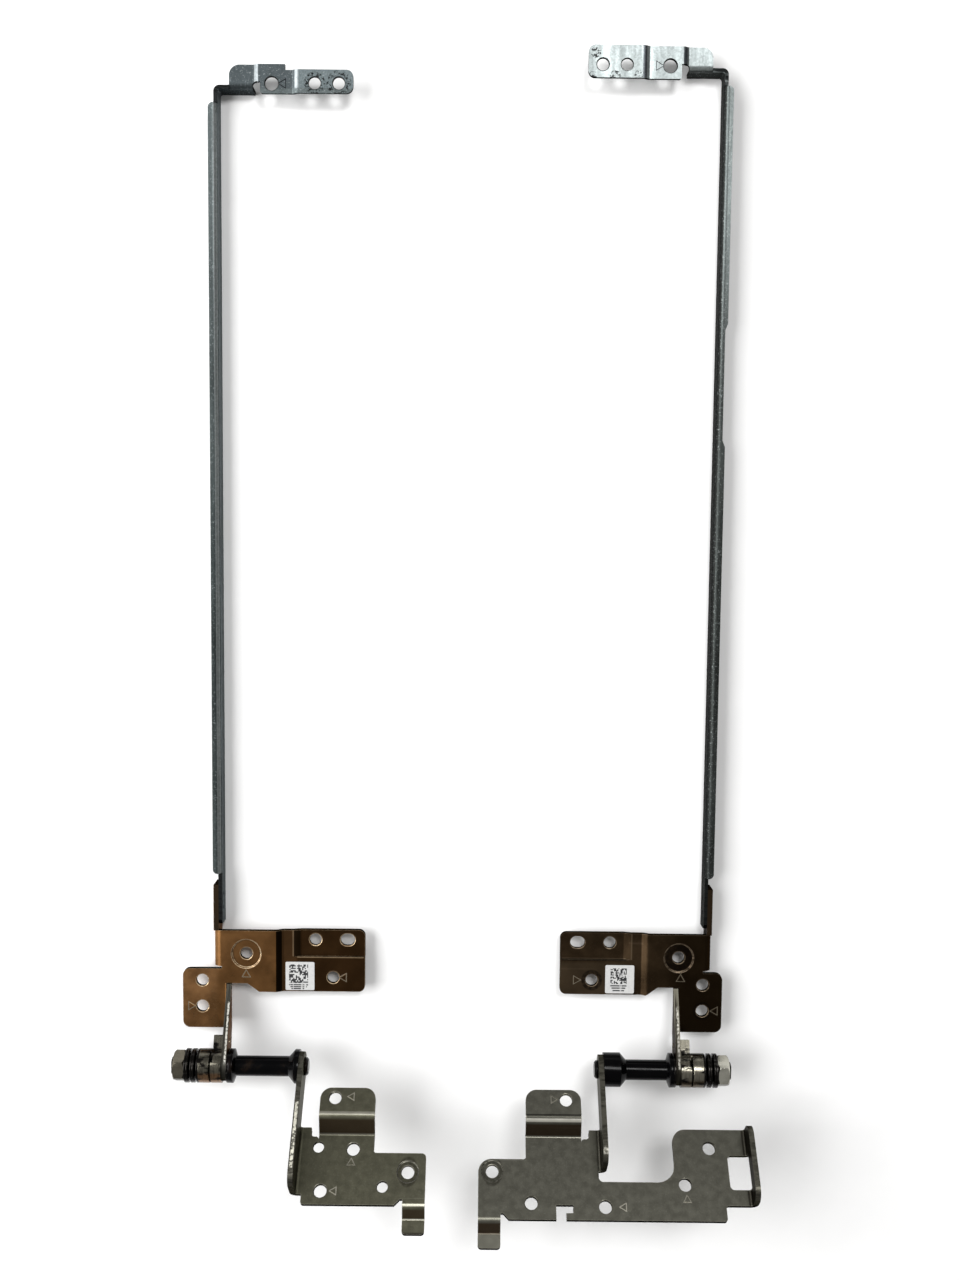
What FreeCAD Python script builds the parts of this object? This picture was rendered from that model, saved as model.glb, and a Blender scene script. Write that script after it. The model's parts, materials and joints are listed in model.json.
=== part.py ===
"""Pair of laptop hinges, lying open with both display arms flat on the table.

X runs along the hinge axis, Y from the axis up the display arms, Z up from the table.
Every piece is drawn for the left hinge with the axis on the X axis, then moved to its place.
The right hinge is the mirror image of that, with the sizes of its own side.
"""
import FreeCAD, Part
import math
import os
from dataclasses import dataclass

V = FreeCAD.Vector

# Pair
HALF_SPACING = 60.0         # mid-line to the outer face of a display bracket's side wall
OPEN_ANGLE = 135.0          # between the display plate and the base plate
RUN_CLEARANCE = 0.04        # between faces that turn on each other
FIT_CLEARANCE = 0.02        # between pieces that are clamped together

# Sizes in which the two hinges differ
RAIL_END = 227.8            # axis to the inner face of the left rail's end wall
RIGHT_RAIL_EXTRA = 4.8      # by which the right rail is longer
LEFT_EAR_INSET = 4.4        # side wall's outer face to the display ear's inboard face
RIGHT_EAR_INSET = 9.1
LEFT_LABEL_INSET = 17.2     # side wall's outer face to the label
RIGHT_LABEL_INSET = 18.4
LEFT_BASE_COLLAR = 1.1      # collar of the shaft beside the base ear
RIGHT_BASE_COLLAR = 4.0
LEFT_TIP_SETBACK = 1.3      # how far the rail tab's tip is cut back
RIGHT_TIP_SETBACK = 0.0
LEFT_TAB_OVERHANG = 1.2     # rail tab below the end wall
RIGHT_TAB_OVERHANG = 1.9

# Sheets
BRACKET_T = 1.2
RAIL_T = 0.8
BEND_R = 0.6                # inside radius of every fold

# Heights
RAIL_HEIGHT = 4.8           # table to the top of the rail and of the display plate
AXIS_ABOVE_PLATE = 5.5      # display plate's top face to the axis
AXIS_ABOVE_BASE = 4.4       # base plate's top face to the axis

# Display bracket, X from the side wall's outer face, Y from the axis
PLATE_WIDTH = 36.4
PLATE_Y = 16.1
PLATE_DEPTH = 15.1
PLATE_CORNER_R = 1.5
STEP_X = 15.2
STEP_RUN = 1.4
STEP_DROP = 0.8
POCKET_X = 19.2
POCKET_RUN = 1.8
POCKET_DROP = 0.5
POCKET_DEPTH = 6.5
TAB_WIDTH = 10.7            # beyond the ear's outboard face
TAB_Y = 7.2
TAB_LENGTH = 14.6
TAB_CORNER_R = 1.7
NOTCH_WIDTH = 3.7
NOTCH_DEPTH = 2.1
NOTCH_CHAMFER = 2.8
RELIEF_WIDTH = 0.6
RELIEF_DEPTH = 1.9
TONGUE_LENGTH = 11.2
EAR_R = 3.5
DIMPLE_X = 7.8
DIMPLE_FROM_TOP = 5.7
DIMPLE_R = 3.5
DIMPLE_DROP = 0.45
SCREW_HOLE_R = 1.45         # clearance for the lid's screws
TAB_HOLE_INSET = 6.0        # from the ear's outboard face
TAB_HOLE_FIRST = 5.3        # from the tab's lower edge
TAB_HOLE_PITCH = 6.4
POCKET_HOLE_FROM_TOP = 2.4
POCKET_HOLE_INSET = 12.0    # from the plate's inner end
POCKET_SLOT_INSET = 4.2
POCKET_SLOT_LENGTH = 0.6
LOWER_HOLE_INSET = 7.7
LOWER_HOLE_FROM_EDGE = 3.5

# Display rail
FLANGE_WIDTH = 2.1
FLANGE_CORNER_R = 1.2
FLANGE_GAP = 2.6            # tongue's end to the flange's lower end
FLANGE_STOP = 3.0           # flange's upper end to the end wall
WEB_GAP = 1.4               # plate's top edge to the web's lower end
WEB_CHAMFER = 1.6
RELIEF_FROM_END = 56.4      # flange relief of the right rail
RELIEF_SPAN = 28.4
RELIEF_CUT = 0.6
RELIEF_SLOPE = 1.6
END_TAB_X = 4.8             # from the side wall's outer face
END_TAB_DEPTH = 5.3
END_TAB_CORNER_R = 2.4
END_STEP_X = 10.5
END_STEP_RUN = 1.0
END_STEP_RISE = 0.6
END_STEP_PITCH = 9.0
END_TAB_REACH = 33.3
END_TIP_R = 1.6
END_NOTCH_X = 10.1
END_NOTCH_WIDTH = 1.9
END_NOTCH_ABOVE = 1.5
END_HOLE_Y = 1.0
END_HOLES = ((14.6, 1.5), (24.5, 1.35), (30.0, 1.35))

# Label
LABEL_SIZE = 7.0
LABEL_T = 0.1
LABEL_FROM_EDGE = 0.3

# Shaft, turned about the axis
SHAFT_SPAN = 17.1           # between the facing sides of the two ears
SHAFT_R = 2.35
COLLAR_R = 3.95
DISPLAY_COLLAR = 0.9
DISPLAY_CONE_RUN = 0.6
BASE_CONE_RUN = 1.4
JOURNAL_R = 2.0
FLAT_WIDTH = 3.0            # across the two flats
TENON_R = 1.8
STAKE_R = 2.1
STAKE_LENGTH = 0.9
STAKE_EDGE = 0.4
THREAD_PROUD = 0.6

# Torque stack
STACK_R = 3.95
CAM_T = 2.4
FOLLOWER_T = 2.5
RIDGE_HEIGHT = 0.4
RIDGE_WIDTH = 1.6
FINGER_WIDTH = 2.4
FINGER_REACH = 7.0
FINGER_ANGLE = -20.0        # below the Y axis, along the ear
PIP_R = 0.6
PIP_LENGTH = 0.8
PIP_REACH = 5.6
SPRING_T = 0.45
SPRING_DISH = 0.25
SPRING_COUNT = 4
WASHER_T = 0.5
NUT_LENGTH = 2.7
NUT_FLATS = 6.6
NUT_CHAMFER = 0.5
NUT_SIDES = 6

# Base brackets, X from the ear's outboard face, Y from the axis, flat as before opening
BASE_EAR_R = 3.4
EAR_LOWER_R = 3.0
RAISED_TAB_X = 5.5
RAISED_TAB_WIDTH = 13.0
RAISED_TAB_END = -4.9
RAISED_TAB_FOLD = -11.4
RAISED_TAB_FOOT = -14.2
RAISED_TAB_RISE = 4.0
RAISED_TAB_R = 2.6
RAISED_HOLE_X = 3.5         # from the tab's edge
RAISED_HOLE_Y = 2.4         # from the tab's end
U_NOTCH_WIDTH = 1.8
U_NOTCH_DEPTH = 0.8
U_NOTCH_R = 0.7
EAR_TOP = -12.9             # where the ear leaves the plate
LOWERED_TAB_WIDTH = 5.1
LOWERED_TAB_RUN = 2.0
LOWERED_TAB_FLAT = 3.5
LOWERED_TAB_DROP = 2.5
LOWERED_TAB_R = 0.8
BASE_RELIEF = 0.6
BASE_CHAMFER = 1.3
BASE_HOLE_R = 1.45
SMALL_HOLE_R = 1.25
RING_R = 2.5
RING_DEPTH = 0.3

LEFT_WIDTH = 30.7
LEFT_BOTTOM = -30.2
LEFT_EAR_END = -28.0
LEFT_SHOULDER = -18.6
LEFT_SHOULDER_R = 1.0
LEFT_HOLES = ((13.7, -17.8), (6.8, -27.2))
LEFT_SMALL_HOLES = ((5.6, -17.4), (20.9, -26.2))
LEFT_RING_INSET = 4.1       # from the inboard edge
LEFT_RING_Y = -22.8
LEFT_FOOT_X = 2.5

RIGHT_WIDTH = 29.5
RIGHT_BOTTOM = -33.0
RIGHT_EAR_END = -22.3
RIGHT_SHOULDER = -19.7
RIGHT_SHOULDER_R = 3.0
RIGHT_HOLES = ((17.4, -29.4), (0.6, -30.1), (-17.9, -25.1), (-24.2, -16.8))
RIGHT_RING_INSET = 3.2
RIGHT_RING_Y = -22.4
LOBE_X = -15.8
LOBE_TOP = -12.5
LOBE_R = 3.0
U_CUT_BOTTOM = -24.6
U_CUT_R = 4.2
U_CUT_RELIEF_R = 1.0
FLANGE_X = -34.0            # outer face of the folded-up end flange
FLANGE_END = -29.6
FLANGE_RISE = 5.4
FLANGE_TOP_R = 3.0
FOOT_STEP_X = -26.8
WINDOW_X = -28.2
WINDOW_TOP = -18.4
WINDOW_BOTTOM = -26.1
WINDOW_RISE = 1.6
WINDOW_R = 0.9
SLOT_X = 7.9
SLOT_WIDTH = 3.9
SLOT_TOP = -29.8
SLOT_FOOT = -31.5
SLOT_MOUTH = 2.3

# Worked out from the sizes above
AXIS_HEIGHT = RAIL_HEIGHT + AXIS_ABOVE_PLATE
PLATE_TOP_Z = -AXIS_ABOVE_PLATE
TABLE_Z = -AXIS_HEIGHT
PLATE_TOP_Y = PLATE_Y + PLATE_DEPTH
TAB_TOP_Y = TAB_Y + TAB_LENGTH
TONGUE_TOP_Y = PLATE_TOP_Y + TONGUE_LENGTH
WALL_X = -HALF_SPACING
CORNER = BRACKET_T + BEND_R
BASE_TOP_Z = -AXIS_ABOVE_BASE
BASE_MID_Z = BASE_TOP_Z - BRACKET_T / 2
FOLD_ROOT = 2 * CORNER      # how far a folded part runs into its plate
FAR = 400.0                 # longer than any piece, for cutting tools
NEAR = 1e-6                 # points closer than this are one point
FULL_TURN = 360.0
HALF_TURN = 180.0
THIRD_TURN = 120.0          # about the space diagonal, takes (x, y) to (y, z)
QUARTER_TURN = 90.0


@dataclass(frozen=True)
class HingeSide:
    """Sizes in which the two hinges differ."""

    name: str
    mirrored: bool
    rail_end: float
    ear_inset: float
    label_inset: float
    base_collar: float
    tip_setback: float
    tab_overhang: float

    @property
    def ear_x(self):
        """Inboard face of the display ear."""
        return WALL_X + self.ear_inset

    @property
    def base_x(self):
        """Outboard face of the base ear."""
        return self.ear_x + SHAFT_SPAN


LEFT = HingeSide(
    "left", False, RAIL_END, LEFT_EAR_INSET, LEFT_LABEL_INSET, LEFT_BASE_COLLAR,
    LEFT_TIP_SETBACK, LEFT_TAB_OVERHANG)
RIGHT = HingeSide(
    "right", True, RAIL_END + RIGHT_RAIL_EXTRA, RIGHT_EAR_INSET, RIGHT_LABEL_INSET, RIGHT_BASE_COLLAR,
    RIGHT_TIP_SETBACK, RIGHT_TAB_OVERHANG)


def outline(corners):
    """Flat face in XY through corners given as (x, y, corner radius)."""
    points = [V(x, y, 0) for x, y, _ in corners]
    joints = []
    for i, corner in enumerate(points):
        radius = corners[i][2]
        if radius == 0:
            joints.append((corner, corner, corner))
            continue
        back = (points[i - 1] - corner).normalize()
        ahead = (points[(i + 1) % len(points)] - corner).normalize()
        half = back.getAngle(ahead) / 2
        middle = (back + ahead).normalize()
        reach = radius / math.tan(half)
        crown = corner + middle * (radius / math.sin(half) - radius)
        joints.append((corner + back * reach, crown, corner + ahead * reach))
    edges = []
    for i, (start, crown, end) in enumerate(joints):
        if corners[i][2] > 0:
            edges.append(Part.Arc(start, crown, end).toShape())
        following = joints[(i + 1) % len(joints)][0]
        if end.distanceToPoint(following) > NEAR:
            edges.append(Part.makeLine(end, following))
    return Part.Face(Part.Wire(edges))


def folded(path, thickness):
    """Section in XY of a sheet folded along its mid-line path, with rounded folds."""
    points = [V(x, y, 0) for x, y in path]
    runs = [(b - a).normalize() for a, b in zip(points, points[1:])]
    normals = [V(-run.y, run.x, 0) for run in runs]
    mid_radius = BEND_R + thickness / 2

    def one_side(offset):
        edges = []
        last = points[0] + normals[0] * offset
        for i in range(1, len(points) - 1):
            turn = runs[i - 1].getAngle(runs[i])
            hand = math.copysign(1, runs[i - 1].cross(runs[i]).z)
            reach = mid_radius * math.tan(turn / 2)
            start = points[i] - runs[i - 1] * reach
            centre = start + normals[i - 1] * (hand * mid_radius)
            crown = centre + (points[i] - centre).normalize() * (mid_radius - hand * offset)
            begin = start + normals[i - 1] * offset
            end = points[i] + runs[i] * reach + normals[i] * offset
            edges.append(Part.makeLine(last, begin))
            edges.append(Part.Arc(begin, crown, end).toShape())
            last = end
        tip = points[-1] + normals[-1] * offset
        edges.append(Part.makeLine(last, tip))
        return edges, tip

    near, near_tip = one_side(thickness / 2)
    far, far_tip = one_side(-thickness / 2)
    first = normals[0] * (thickness / 2)
    caps = [Part.makeLine(near_tip, far_tip), Part.makeLine(points[0] - first, points[0] + first)]
    return Part.Face(Part.Wire(Part.__sortEdges__(near + far + caps)))


def along_x(face, start, end):
    """Extrude a section drawn as (y, z) from one X to another."""
    placed = face.copy()
    placed.rotate(V(), V(1, 1, 1), THIRD_TURN)
    placed.translate(V(start, 0, 0))
    return placed.extrude(V(end - start, 0, 0))


def along_y(face, start, end):
    """Extrude a section drawn as (x, z) from one Y to another."""
    placed = face.copy()
    placed.rotate(V(), V(1, 0, 0), QUARTER_TURN)
    placed.translate(V(0, start, 0))
    return placed.extrude(V(0, end - start, 0))


def upright(face, bottom=-FAR / 2, top=FAR / 2):
    """Extrude a plan drawn as (x, y) from one Z to another."""
    moved = face.copy()
    moved.translate(V(0, 0, bottom))
    return moved.extrude(V(0, 0, top - bottom))


def box(x, y, z):
    """Box between the pairs of limits x, y and z."""
    return Part.makeBox(x[1] - x[0], y[1] - y[0], z[1] - z[0], V(x[0], y[0], z[0]))


def hole(x, y, radius):
    """Tool for a vertical hole through everything."""
    return Part.makeCylinder(radius, FAR, V(x, y, -FAR / 2))


def slot(x, y, radius, length):
    """Tool for a vertical slot along X."""
    ends = hole(x - length / 2, y, radius).fuse(hole(x + length / 2, y, radius))
    return ends.fuse(box((x - length / 2, x + length / 2), (y - radius, y + radius), (-FAR / 2, FAR / 2)))


def axial(radius, start, end):
    """Cylinder about the hinge axis."""
    return Part.makeCylinder(radius, end - start, V(start, 0, 0), V(1, 0, 0))


def keyed(radius, flats, start, end):
    """Cylinder about the hinge axis with two flats."""
    return axial(radius, start, end).common(box((start, end), (-radius, radius), (-flats / 2, flats / 2)))


def turned(profile):
    """Solid of revolution about the hinge axis from a closed profile of (x, radius)."""
    points = [V(x, r, 0) for x, r in profile]
    face = Part.Face(Part.makePolygon(points + points[:1]))
    return face.revolve(V(), V(1, 0, 0), FULL_TURN)


def joined(shapes):
    """One clean solid from overlapping shapes."""
    return shapes[0].fuse(shapes[1:]).removeSplitter()


def ear_outline(end_radius, foot, foot_z, shoulder_z):
    """Outline (y, z) of the display ear: a foot on the fold, tapering to a round end on the axis."""
    low, high = foot
    start = V(low, shoulder_z, 0)
    finish = V(high, shoulder_z, 0)

    def touch(point, side):
        reach = point.Length
        angle = math.atan2(point.y, point.x) + side * math.acos(end_radius / reach)
        return V(end_radius * math.cos(angle), end_radius * math.sin(angle), 0)

    lower = touch(start, -1)
    upper = touch(finish, 1)
    around = V(-end_radius, 0, 0)
    edges = [
        Part.makeLine(V(low, foot_z, 0), start),
        Part.makeLine(start, lower),
        Part.Arc(lower, around, upper).toShape(),
        Part.makeLine(upper, finish),
        Part.makeLine(finish, V(high, foot_z, 0)),
        Part.makeLine(V(high, foot_z, 0), V(low, foot_z, 0)),
    ]
    return Part.Face(Part.Wire(edges))


def display_plate_outline(side):
    """Plan of the display bracket with its tab and notch."""
    ear = side.ear_x
    outer = ear - BRACKET_T - TAB_WIDTH
    inner = WALL_X + PLATE_WIDTH
    notch_y = PLATE_Y + NOTCH_DEPTH
    fold = ear - CORNER
    return outline([
        (outer, TAB_Y, TAB_CORNER_R), (fold, TAB_Y, 0), (fold, notch_y, 0),
        (ear + NOTCH_WIDTH, notch_y, BEND_R), (ear + NOTCH_WIDTH + NOTCH_CHAMFER, PLATE_Y, 0),
        (inner, PLATE_Y, PLATE_CORNER_R), (inner, PLATE_TOP_Y, PLATE_CORNER_R),
        (WALL_X, PLATE_TOP_Y, 0), (WALL_X, TAB_TOP_Y, 0), (outer, TAB_TOP_Y, TAB_CORNER_R),
    ])


def display_bracket(side):
    """Stepped plate with a side wall and tongue folded down and an ear folded up."""
    half = BRACKET_T / 2
    level_a = PLATE_TOP_Z - half
    level_b = level_a - STEP_DROP
    level_c = level_b - POCKET_DROP
    inner = WALL_X + PLATE_WIDTH
    step = WALL_X + STEP_X
    ramp = WALL_X + POCKET_X
    outer = side.ear_x - BRACKET_T - TAB_WIDTH
    wall = [(WALL_X + half, TABLE_Z), (WALL_X + half, level_a)]
    stepped = [(step, level_a), (step + STEP_RUN, level_b)]
    lowered = [(ramp, level_b), (ramp + POCKET_RUN, level_c), (inner, level_c)]
    pocket_y = PLATE_TOP_Y - POCKET_DEPTH
    wall_y = TAB_TOP_Y + RELIEF_WIDTH

    tab = along_y(folded([(outer, level_a)] + stepped + [(inner, level_b)], BRACKET_T), TAB_Y, TAB_TOP_Y)
    behind_relief = [(WALL_X + RELIEF_DEPTH, level_a)] + stepped + [(inner, level_b)]
    relief_band = along_y(folded(behind_relief, BRACKET_T), TAB_TOP_Y, wall_y)
    plain = along_y(folded(wall + stepped + [(inner, level_b)], BRACKET_T), wall_y, pocket_y)
    pocket = along_y(folded(wall + stepped + lowered, BRACKET_T), pocket_y, PLATE_TOP_Y)
    plate = joined([tab, relief_band, plain, pocket]).common(upright(display_plate_outline(side)))

    tongue = box((WALL_X, WALL_X + BRACKET_T), (wall_y, TONGUE_TOP_Y), (TABLE_Z, PLATE_TOP_Z - CORNER))
    tongue_top = box((WALL_X, WALL_X + BRACKET_T), (PLATE_TOP_Y, TONGUE_TOP_Y), (TABLE_Z, PLATE_TOP_Z))

    ear_mid = side.ear_x - half
    notch_y = PLATE_Y + NOTCH_DEPTH
    fold = along_y(
        folded([(ear_mid - FOLD_ROOT, level_a), (ear_mid, level_a), (ear_mid, EAR_R)], BRACKET_T),
        -EAR_R, notch_y)
    ear_face = ear_outline(EAR_R, (TAB_Y, notch_y), level_a - half, PLATE_TOP_Z + BEND_R)
    ear = fold.common(along_x(ear_face, ear_mid - FOLD_ROOT, side.ear_x))

    dimple_x = WALL_X + DIMPLE_X
    dimple_y = PLATE_TOP_Y - DIMPLE_FROM_TOP
    dimple_z = PLATE_TOP_Z - DIMPLE_DROP
    dimple = Part.makeCylinder(DIMPLE_R, BRACKET_T, V(dimple_x, dimple_y, dimple_z - BRACKET_T))
    recess = Part.makeCylinder(DIMPLE_R, DIMPLE_DROP, V(dimple_x, dimple_y, dimple_z))
    tab_hole_x = side.ear_x - BRACKET_T - TAB_HOLE_INSET
    tab_hole_y = TAB_Y + TAB_HOLE_FIRST
    pocket_hole_y = PLATE_TOP_Y - POCKET_HOLE_FROM_TOP
    tools = [
        recess,
        hole(dimple_x, dimple_y, SCREW_HOLE_R),
        hole(tab_hole_x, tab_hole_y, SCREW_HOLE_R),
        hole(tab_hole_x, tab_hole_y + TAB_HOLE_PITCH, SCREW_HOLE_R),
        hole(inner - POCKET_HOLE_INSET, pocket_hole_y, SCREW_HOLE_R),
        slot(inner - POCKET_SLOT_INSET, pocket_hole_y, SCREW_HOLE_R, POCKET_SLOT_LENGTH),
        hole(inner - LOWER_HOLE_INSET, PLATE_Y + LOWER_HOLE_FROM_EDGE, SCREW_HOLE_R),
        axial(JOURNAL_R + RUN_CLEARANCE, side.ear_x - 2 * BRACKET_T, side.ear_x + BRACKET_T),
        finger_pip(side, PIP_R + FIT_CLEARANCE, 2 * BRACKET_T),
    ]
    return joined([plate, tongue, tongue_top, ear, dimple]).cut(tools)


def display_rail(side):
    """Angle rail: web, flange at its top edge, end wall and joggled tab."""
    half = RAIL_T / 2
    rail_end = side.rail_end
    web_x = WALL_X + BRACKET_T + half
    wall_y = rail_end + half
    top = PLATE_TOP_Z
    mid = top - half
    fold = RAIL_T + BEND_R
    web_y = PLATE_TOP_Y + WEB_GAP
    notch_x = WALL_X + END_NOTCH_X
    web_plan = folded([(web_x, web_y), (web_x, wall_y), (notch_x + END_NOTCH_WIDTH / 2, wall_y)], RAIL_T)
    web = upright(web_plan, TABLE_Z, top)

    inner = web_x + half
    lip = inner - FLANGE_WIDTH
    flange_y = (TONGUE_TOP_Y + FLANGE_GAP, rail_end - FLANGE_STOP)
    section = folded([(web_x, TABLE_Z), (web_x, mid), (lip, mid)], RAIL_T)
    flange_plan = outline([
        (lip, flange_y[0], FLANGE_CORNER_R), (inner, flange_y[0], 0),
        (inner, flange_y[1], 0), (lip, flange_y[1], FLANGE_CORNER_R),
    ])
    flange = along_y(section, *flange_y).common(upright(flange_plan))
    if side.mirrored:
        relief_top = rail_end - RELIEF_FROM_END
        relief_foot = relief_top - RELIEF_SPAN
        flange = flange.cut(upright(outline([
            (lip - RELIEF_CUT, relief_foot - RELIEF_SLOPE, 0),
            (lip + RELIEF_CUT, relief_foot + RELIEF_SLOPE, 0),
            (lip + RELIEF_CUT, relief_top - RELIEF_SLOPE, 0),
            (lip - RELIEF_CUT, relief_top + RELIEF_SLOPE, 0),
        ]), top - RAIL_T, top))

    tab_x = WALL_X + END_TAB_X
    steps_x = WALL_X + END_STEP_X
    tip_x = WALL_X + END_TAB_REACH
    end_fold = along_x(folded([(wall_y, TABLE_Z), (wall_y, mid), (rail_end + END_TAB_DEPTH, mid)], RAIL_T),
                       tab_x, notch_x + END_NOTCH_WIDTH / 2)
    second_x = steps_x + END_STEP_PITCH
    joggled = folded([
        (tab_x, mid), (steps_x, mid), (steps_x + END_STEP_RUN, mid + END_STEP_RISE),
        (second_x, mid + END_STEP_RISE), (second_x + END_STEP_RUN, mid + 2 * END_STEP_RISE),
        (tip_x, mid + 2 * END_STEP_RISE),
    ], RAIL_T)
    low = rail_end - side.tab_overhang
    high = rail_end + END_TAB_DEPTH
    tip_high = high - side.tip_setback
    corners = [
        (tab_x, rail_end + fold, 0), (notch_x + END_NOTCH_WIDTH, rail_end + fold, 0),
        (notch_x + END_NOTCH_WIDTH, low, BEND_R), (tip_x, low, END_TIP_R), (tip_x, tip_high, END_TIP_R),
    ]
    if side.tip_setback > 0:
        setback_x = second_x - END_STEP_RUN - END_TIP_R / 2
        corners += [(setback_x, tip_high, 0), (setback_x, high, 0)]
    corners.append((tab_x, high, END_TAB_CORNER_R))
    plan = upright(outline(corners))
    tab = along_y(joggled, low, high).common(plan)
    notch_top = rail_end + END_NOTCH_ABOVE
    notch_r = END_NOTCH_WIDTH / 2 - FIT_CLEARANCE
    notch = upright(outline([
        (notch_x, low - BRACKET_T, 0), (notch_x + END_NOTCH_WIDTH, low - BRACKET_T, 0),
        (notch_x + END_NOTCH_WIDTH, notch_top, notch_r), (notch_x, notch_top, notch_r),
    ]))
    corner_r = upright(outline([
        (tab_x, rail_end - RAIL_T, 0), (tip_x, rail_end - RAIL_T, 0),
        (tip_x, high, 0), (tab_x, high, END_TAB_CORNER_R),
    ]))
    fold_zone = [
        box((lip, inner + half), flange_y, (top - fold, top + half)),
        box((tab_x, tip_x), (rail_end - half, rail_end + RAIL_T + half), (top - fold, top + half)),
    ]
    chamfer = along_x(outline([
        (web_y - half, top - WEB_CHAMFER, 0), (web_y + WEB_CHAMFER, top + half, 0),
        (web_y - half, top + half, 0),
    ]), WALL_X, inner + half)
    rail = joined([web.cut(fold_zone), flange, end_fold.common(corner_r), tab])
    drills = [hole(WALL_X + x, rail_end + END_HOLE_Y, radius) for x, radius in END_HOLES]
    return rail.cut([notch, chamfer] + drills)


def label(side):
    """Square sticker on the lower level of the display plate."""
    x = WALL_X + side.label_inset
    y = PLATE_Y + LABEL_FROM_EDGE
    z = PLATE_TOP_Z - STEP_DROP
    return box((x, x + LABEL_SIZE), (y, y + LABEL_SIZE), (z, z + LABEL_T))


def stack_places(side):
    """Outboard X of each layer of the torque stack, from the display ear to the nut."""
    ear = side.ear_x - BRACKET_T
    cam = ear - CAM_T
    follower = cam - RIDGE_HEIGHT - RUN_CLEARANCE - FOLLOWER_T
    springs = follower - SPRING_COUNT * (SPRING_T + SPRING_DISH + FIT_CLEARANCE)
    washer = springs - WASHER_T - FIT_CLEARANCE
    nut = washer - NUT_LENGTH - FIT_CLEARANCE
    return {"ear": ear, "cam": cam, "follower": follower, "springs": springs, "washer": washer, "nut": nut}


def hinge_shaft(side):
    """Shaft with a collar against each ear, a keyed stack end and a staked tenon."""
    collar = side.ear_x + RUN_CLEARANCE + WASHER_T + FIT_CLEARANCE
    base = side.base_x
    body = turned([
        (collar, 0), (collar, COLLAR_R), (collar + DISPLAY_COLLAR, COLLAR_R),
        (collar + DISPLAY_COLLAR + DISPLAY_CONE_RUN, SHAFT_R),
        (base - side.base_collar - BASE_CONE_RUN, SHAFT_R),
        (base - side.base_collar, COLLAR_R), (base, COLLAR_R), (base, TENON_R),
        (base + BRACKET_T, TENON_R), (base + BRACKET_T, STAKE_R),
        (base + BRACKET_T + STAKE_LENGTH - STAKE_EDGE, STAKE_R),
        (base + BRACKET_T + STAKE_LENGTH, STAKE_R - STAKE_EDGE), (base + BRACKET_T + STAKE_LENGTH, 0),
    ])
    stub = keyed(JOURNAL_R, FLAT_WIDTH, stack_places(side)["nut"] - THREAD_PROUD, collar + DISPLAY_COLLAR)
    return joined([body, stub])


def friction_washer(side):
    """Flat ring between the shaft's collar and the display ear."""
    start = side.ear_x + RUN_CLEARANCE
    ring = axial(STACK_R, start, start + WASHER_T)
    bore = keyed(JOURNAL_R + FIT_CLEARANCE, FLAT_WIDTH + 2 * FIT_CLEARANCE, start, start + WASHER_T)
    return ring.cut(bore)


def finger_pip(side, radius, length):
    """Peg of the cam plate's finger, which seats in the display ear."""
    angle = math.radians(FINGER_ANGLE)
    ear = side.ear_x - BRACKET_T
    foot = V(ear, PIP_REACH * math.cos(angle), PIP_REACH * math.sin(angle))
    return Part.makeCylinder(radius, length, foot, V(1, 0, 0))


def ridge_bar(start, end, angle):
    """Bar across the axis, as high as the cam ridge is, at an angle about the axis."""
    bar = box((start, end), (-STACK_R, STACK_R), (-RIDGE_WIDTH / 2, RIDGE_WIDTH / 2))
    bar.rotate(V(), V(1, 0, 0), angle)
    return bar


def cam_plate(side):
    """Ring held by the display ear, with a finger along the ear and two detent grooves."""
    place = stack_places(side)
    ring = axial(STACK_R, place["cam"], place["ear"])
    finger = box((place["cam"], place["ear"]), (0, FINGER_REACH), (-FINGER_WIDTH / 2, FINGER_WIDTH / 2))
    finger.rotate(V(), V(1, 0, 0), FINGER_ANGLE)
    groove = ridge_bar(place["cam"], place["cam"] + RIDGE_HEIGHT, -OPEN_ANGLE)
    bore = axial(JOURNAL_R + RUN_CLEARANCE, place["cam"], place["ear"])
    groove = groove.common(axial(STACK_R, place["cam"], place["ear"]))
    return joined([ring, finger, finger_pip(side, PIP_R, PIP_LENGTH)]).cut([bore, groove])


def cam_follower(side):
    """Ring keyed to the shaft, with two ridges that ride on the cam plate."""
    start = stack_places(side)["follower"]
    face = start + FOLLOWER_T
    ridge = ridge_bar(face, face + RIDGE_HEIGHT, 0).common(axial(STACK_R, face, face + RIDGE_HEIGHT))
    end = face + RIDGE_HEIGHT
    bore = keyed(JOURNAL_R + FIT_CLEARANCE, FLAT_WIDTH + 2 * FIT_CLEARANCE, start, end)
    return joined([axial(STACK_R, start, face), ridge]).cut(bore)


def disc_spring(side, index):
    """Conical washer; neighbours face opposite ways."""
    pitch = SPRING_T + SPRING_DISH + FIT_CLEARANCE
    start = stack_places(side)["follower"] - (index + 1) * pitch
    bore = JOURNAL_R + FIT_CLEARANCE
    rim, hub = (0, SPRING_DISH) if index % 2 else (SPRING_DISH, 0)
    return turned([
        (start + hub, bore), (start + rim, STACK_R),
        (start + rim + SPRING_T, STACK_R), (start + hub + SPRING_T, bore),
    ])


def thrust_washer(side):
    """Flat keyed ring under the nut."""
    start = stack_places(side)["washer"]
    bore = keyed(JOURNAL_R + FIT_CLEARANCE, FLAT_WIDTH + 2 * FIT_CLEARANCE, start, start + WASHER_T)
    return axial(STACK_R, start, start + WASHER_T).cut(bore)


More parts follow.
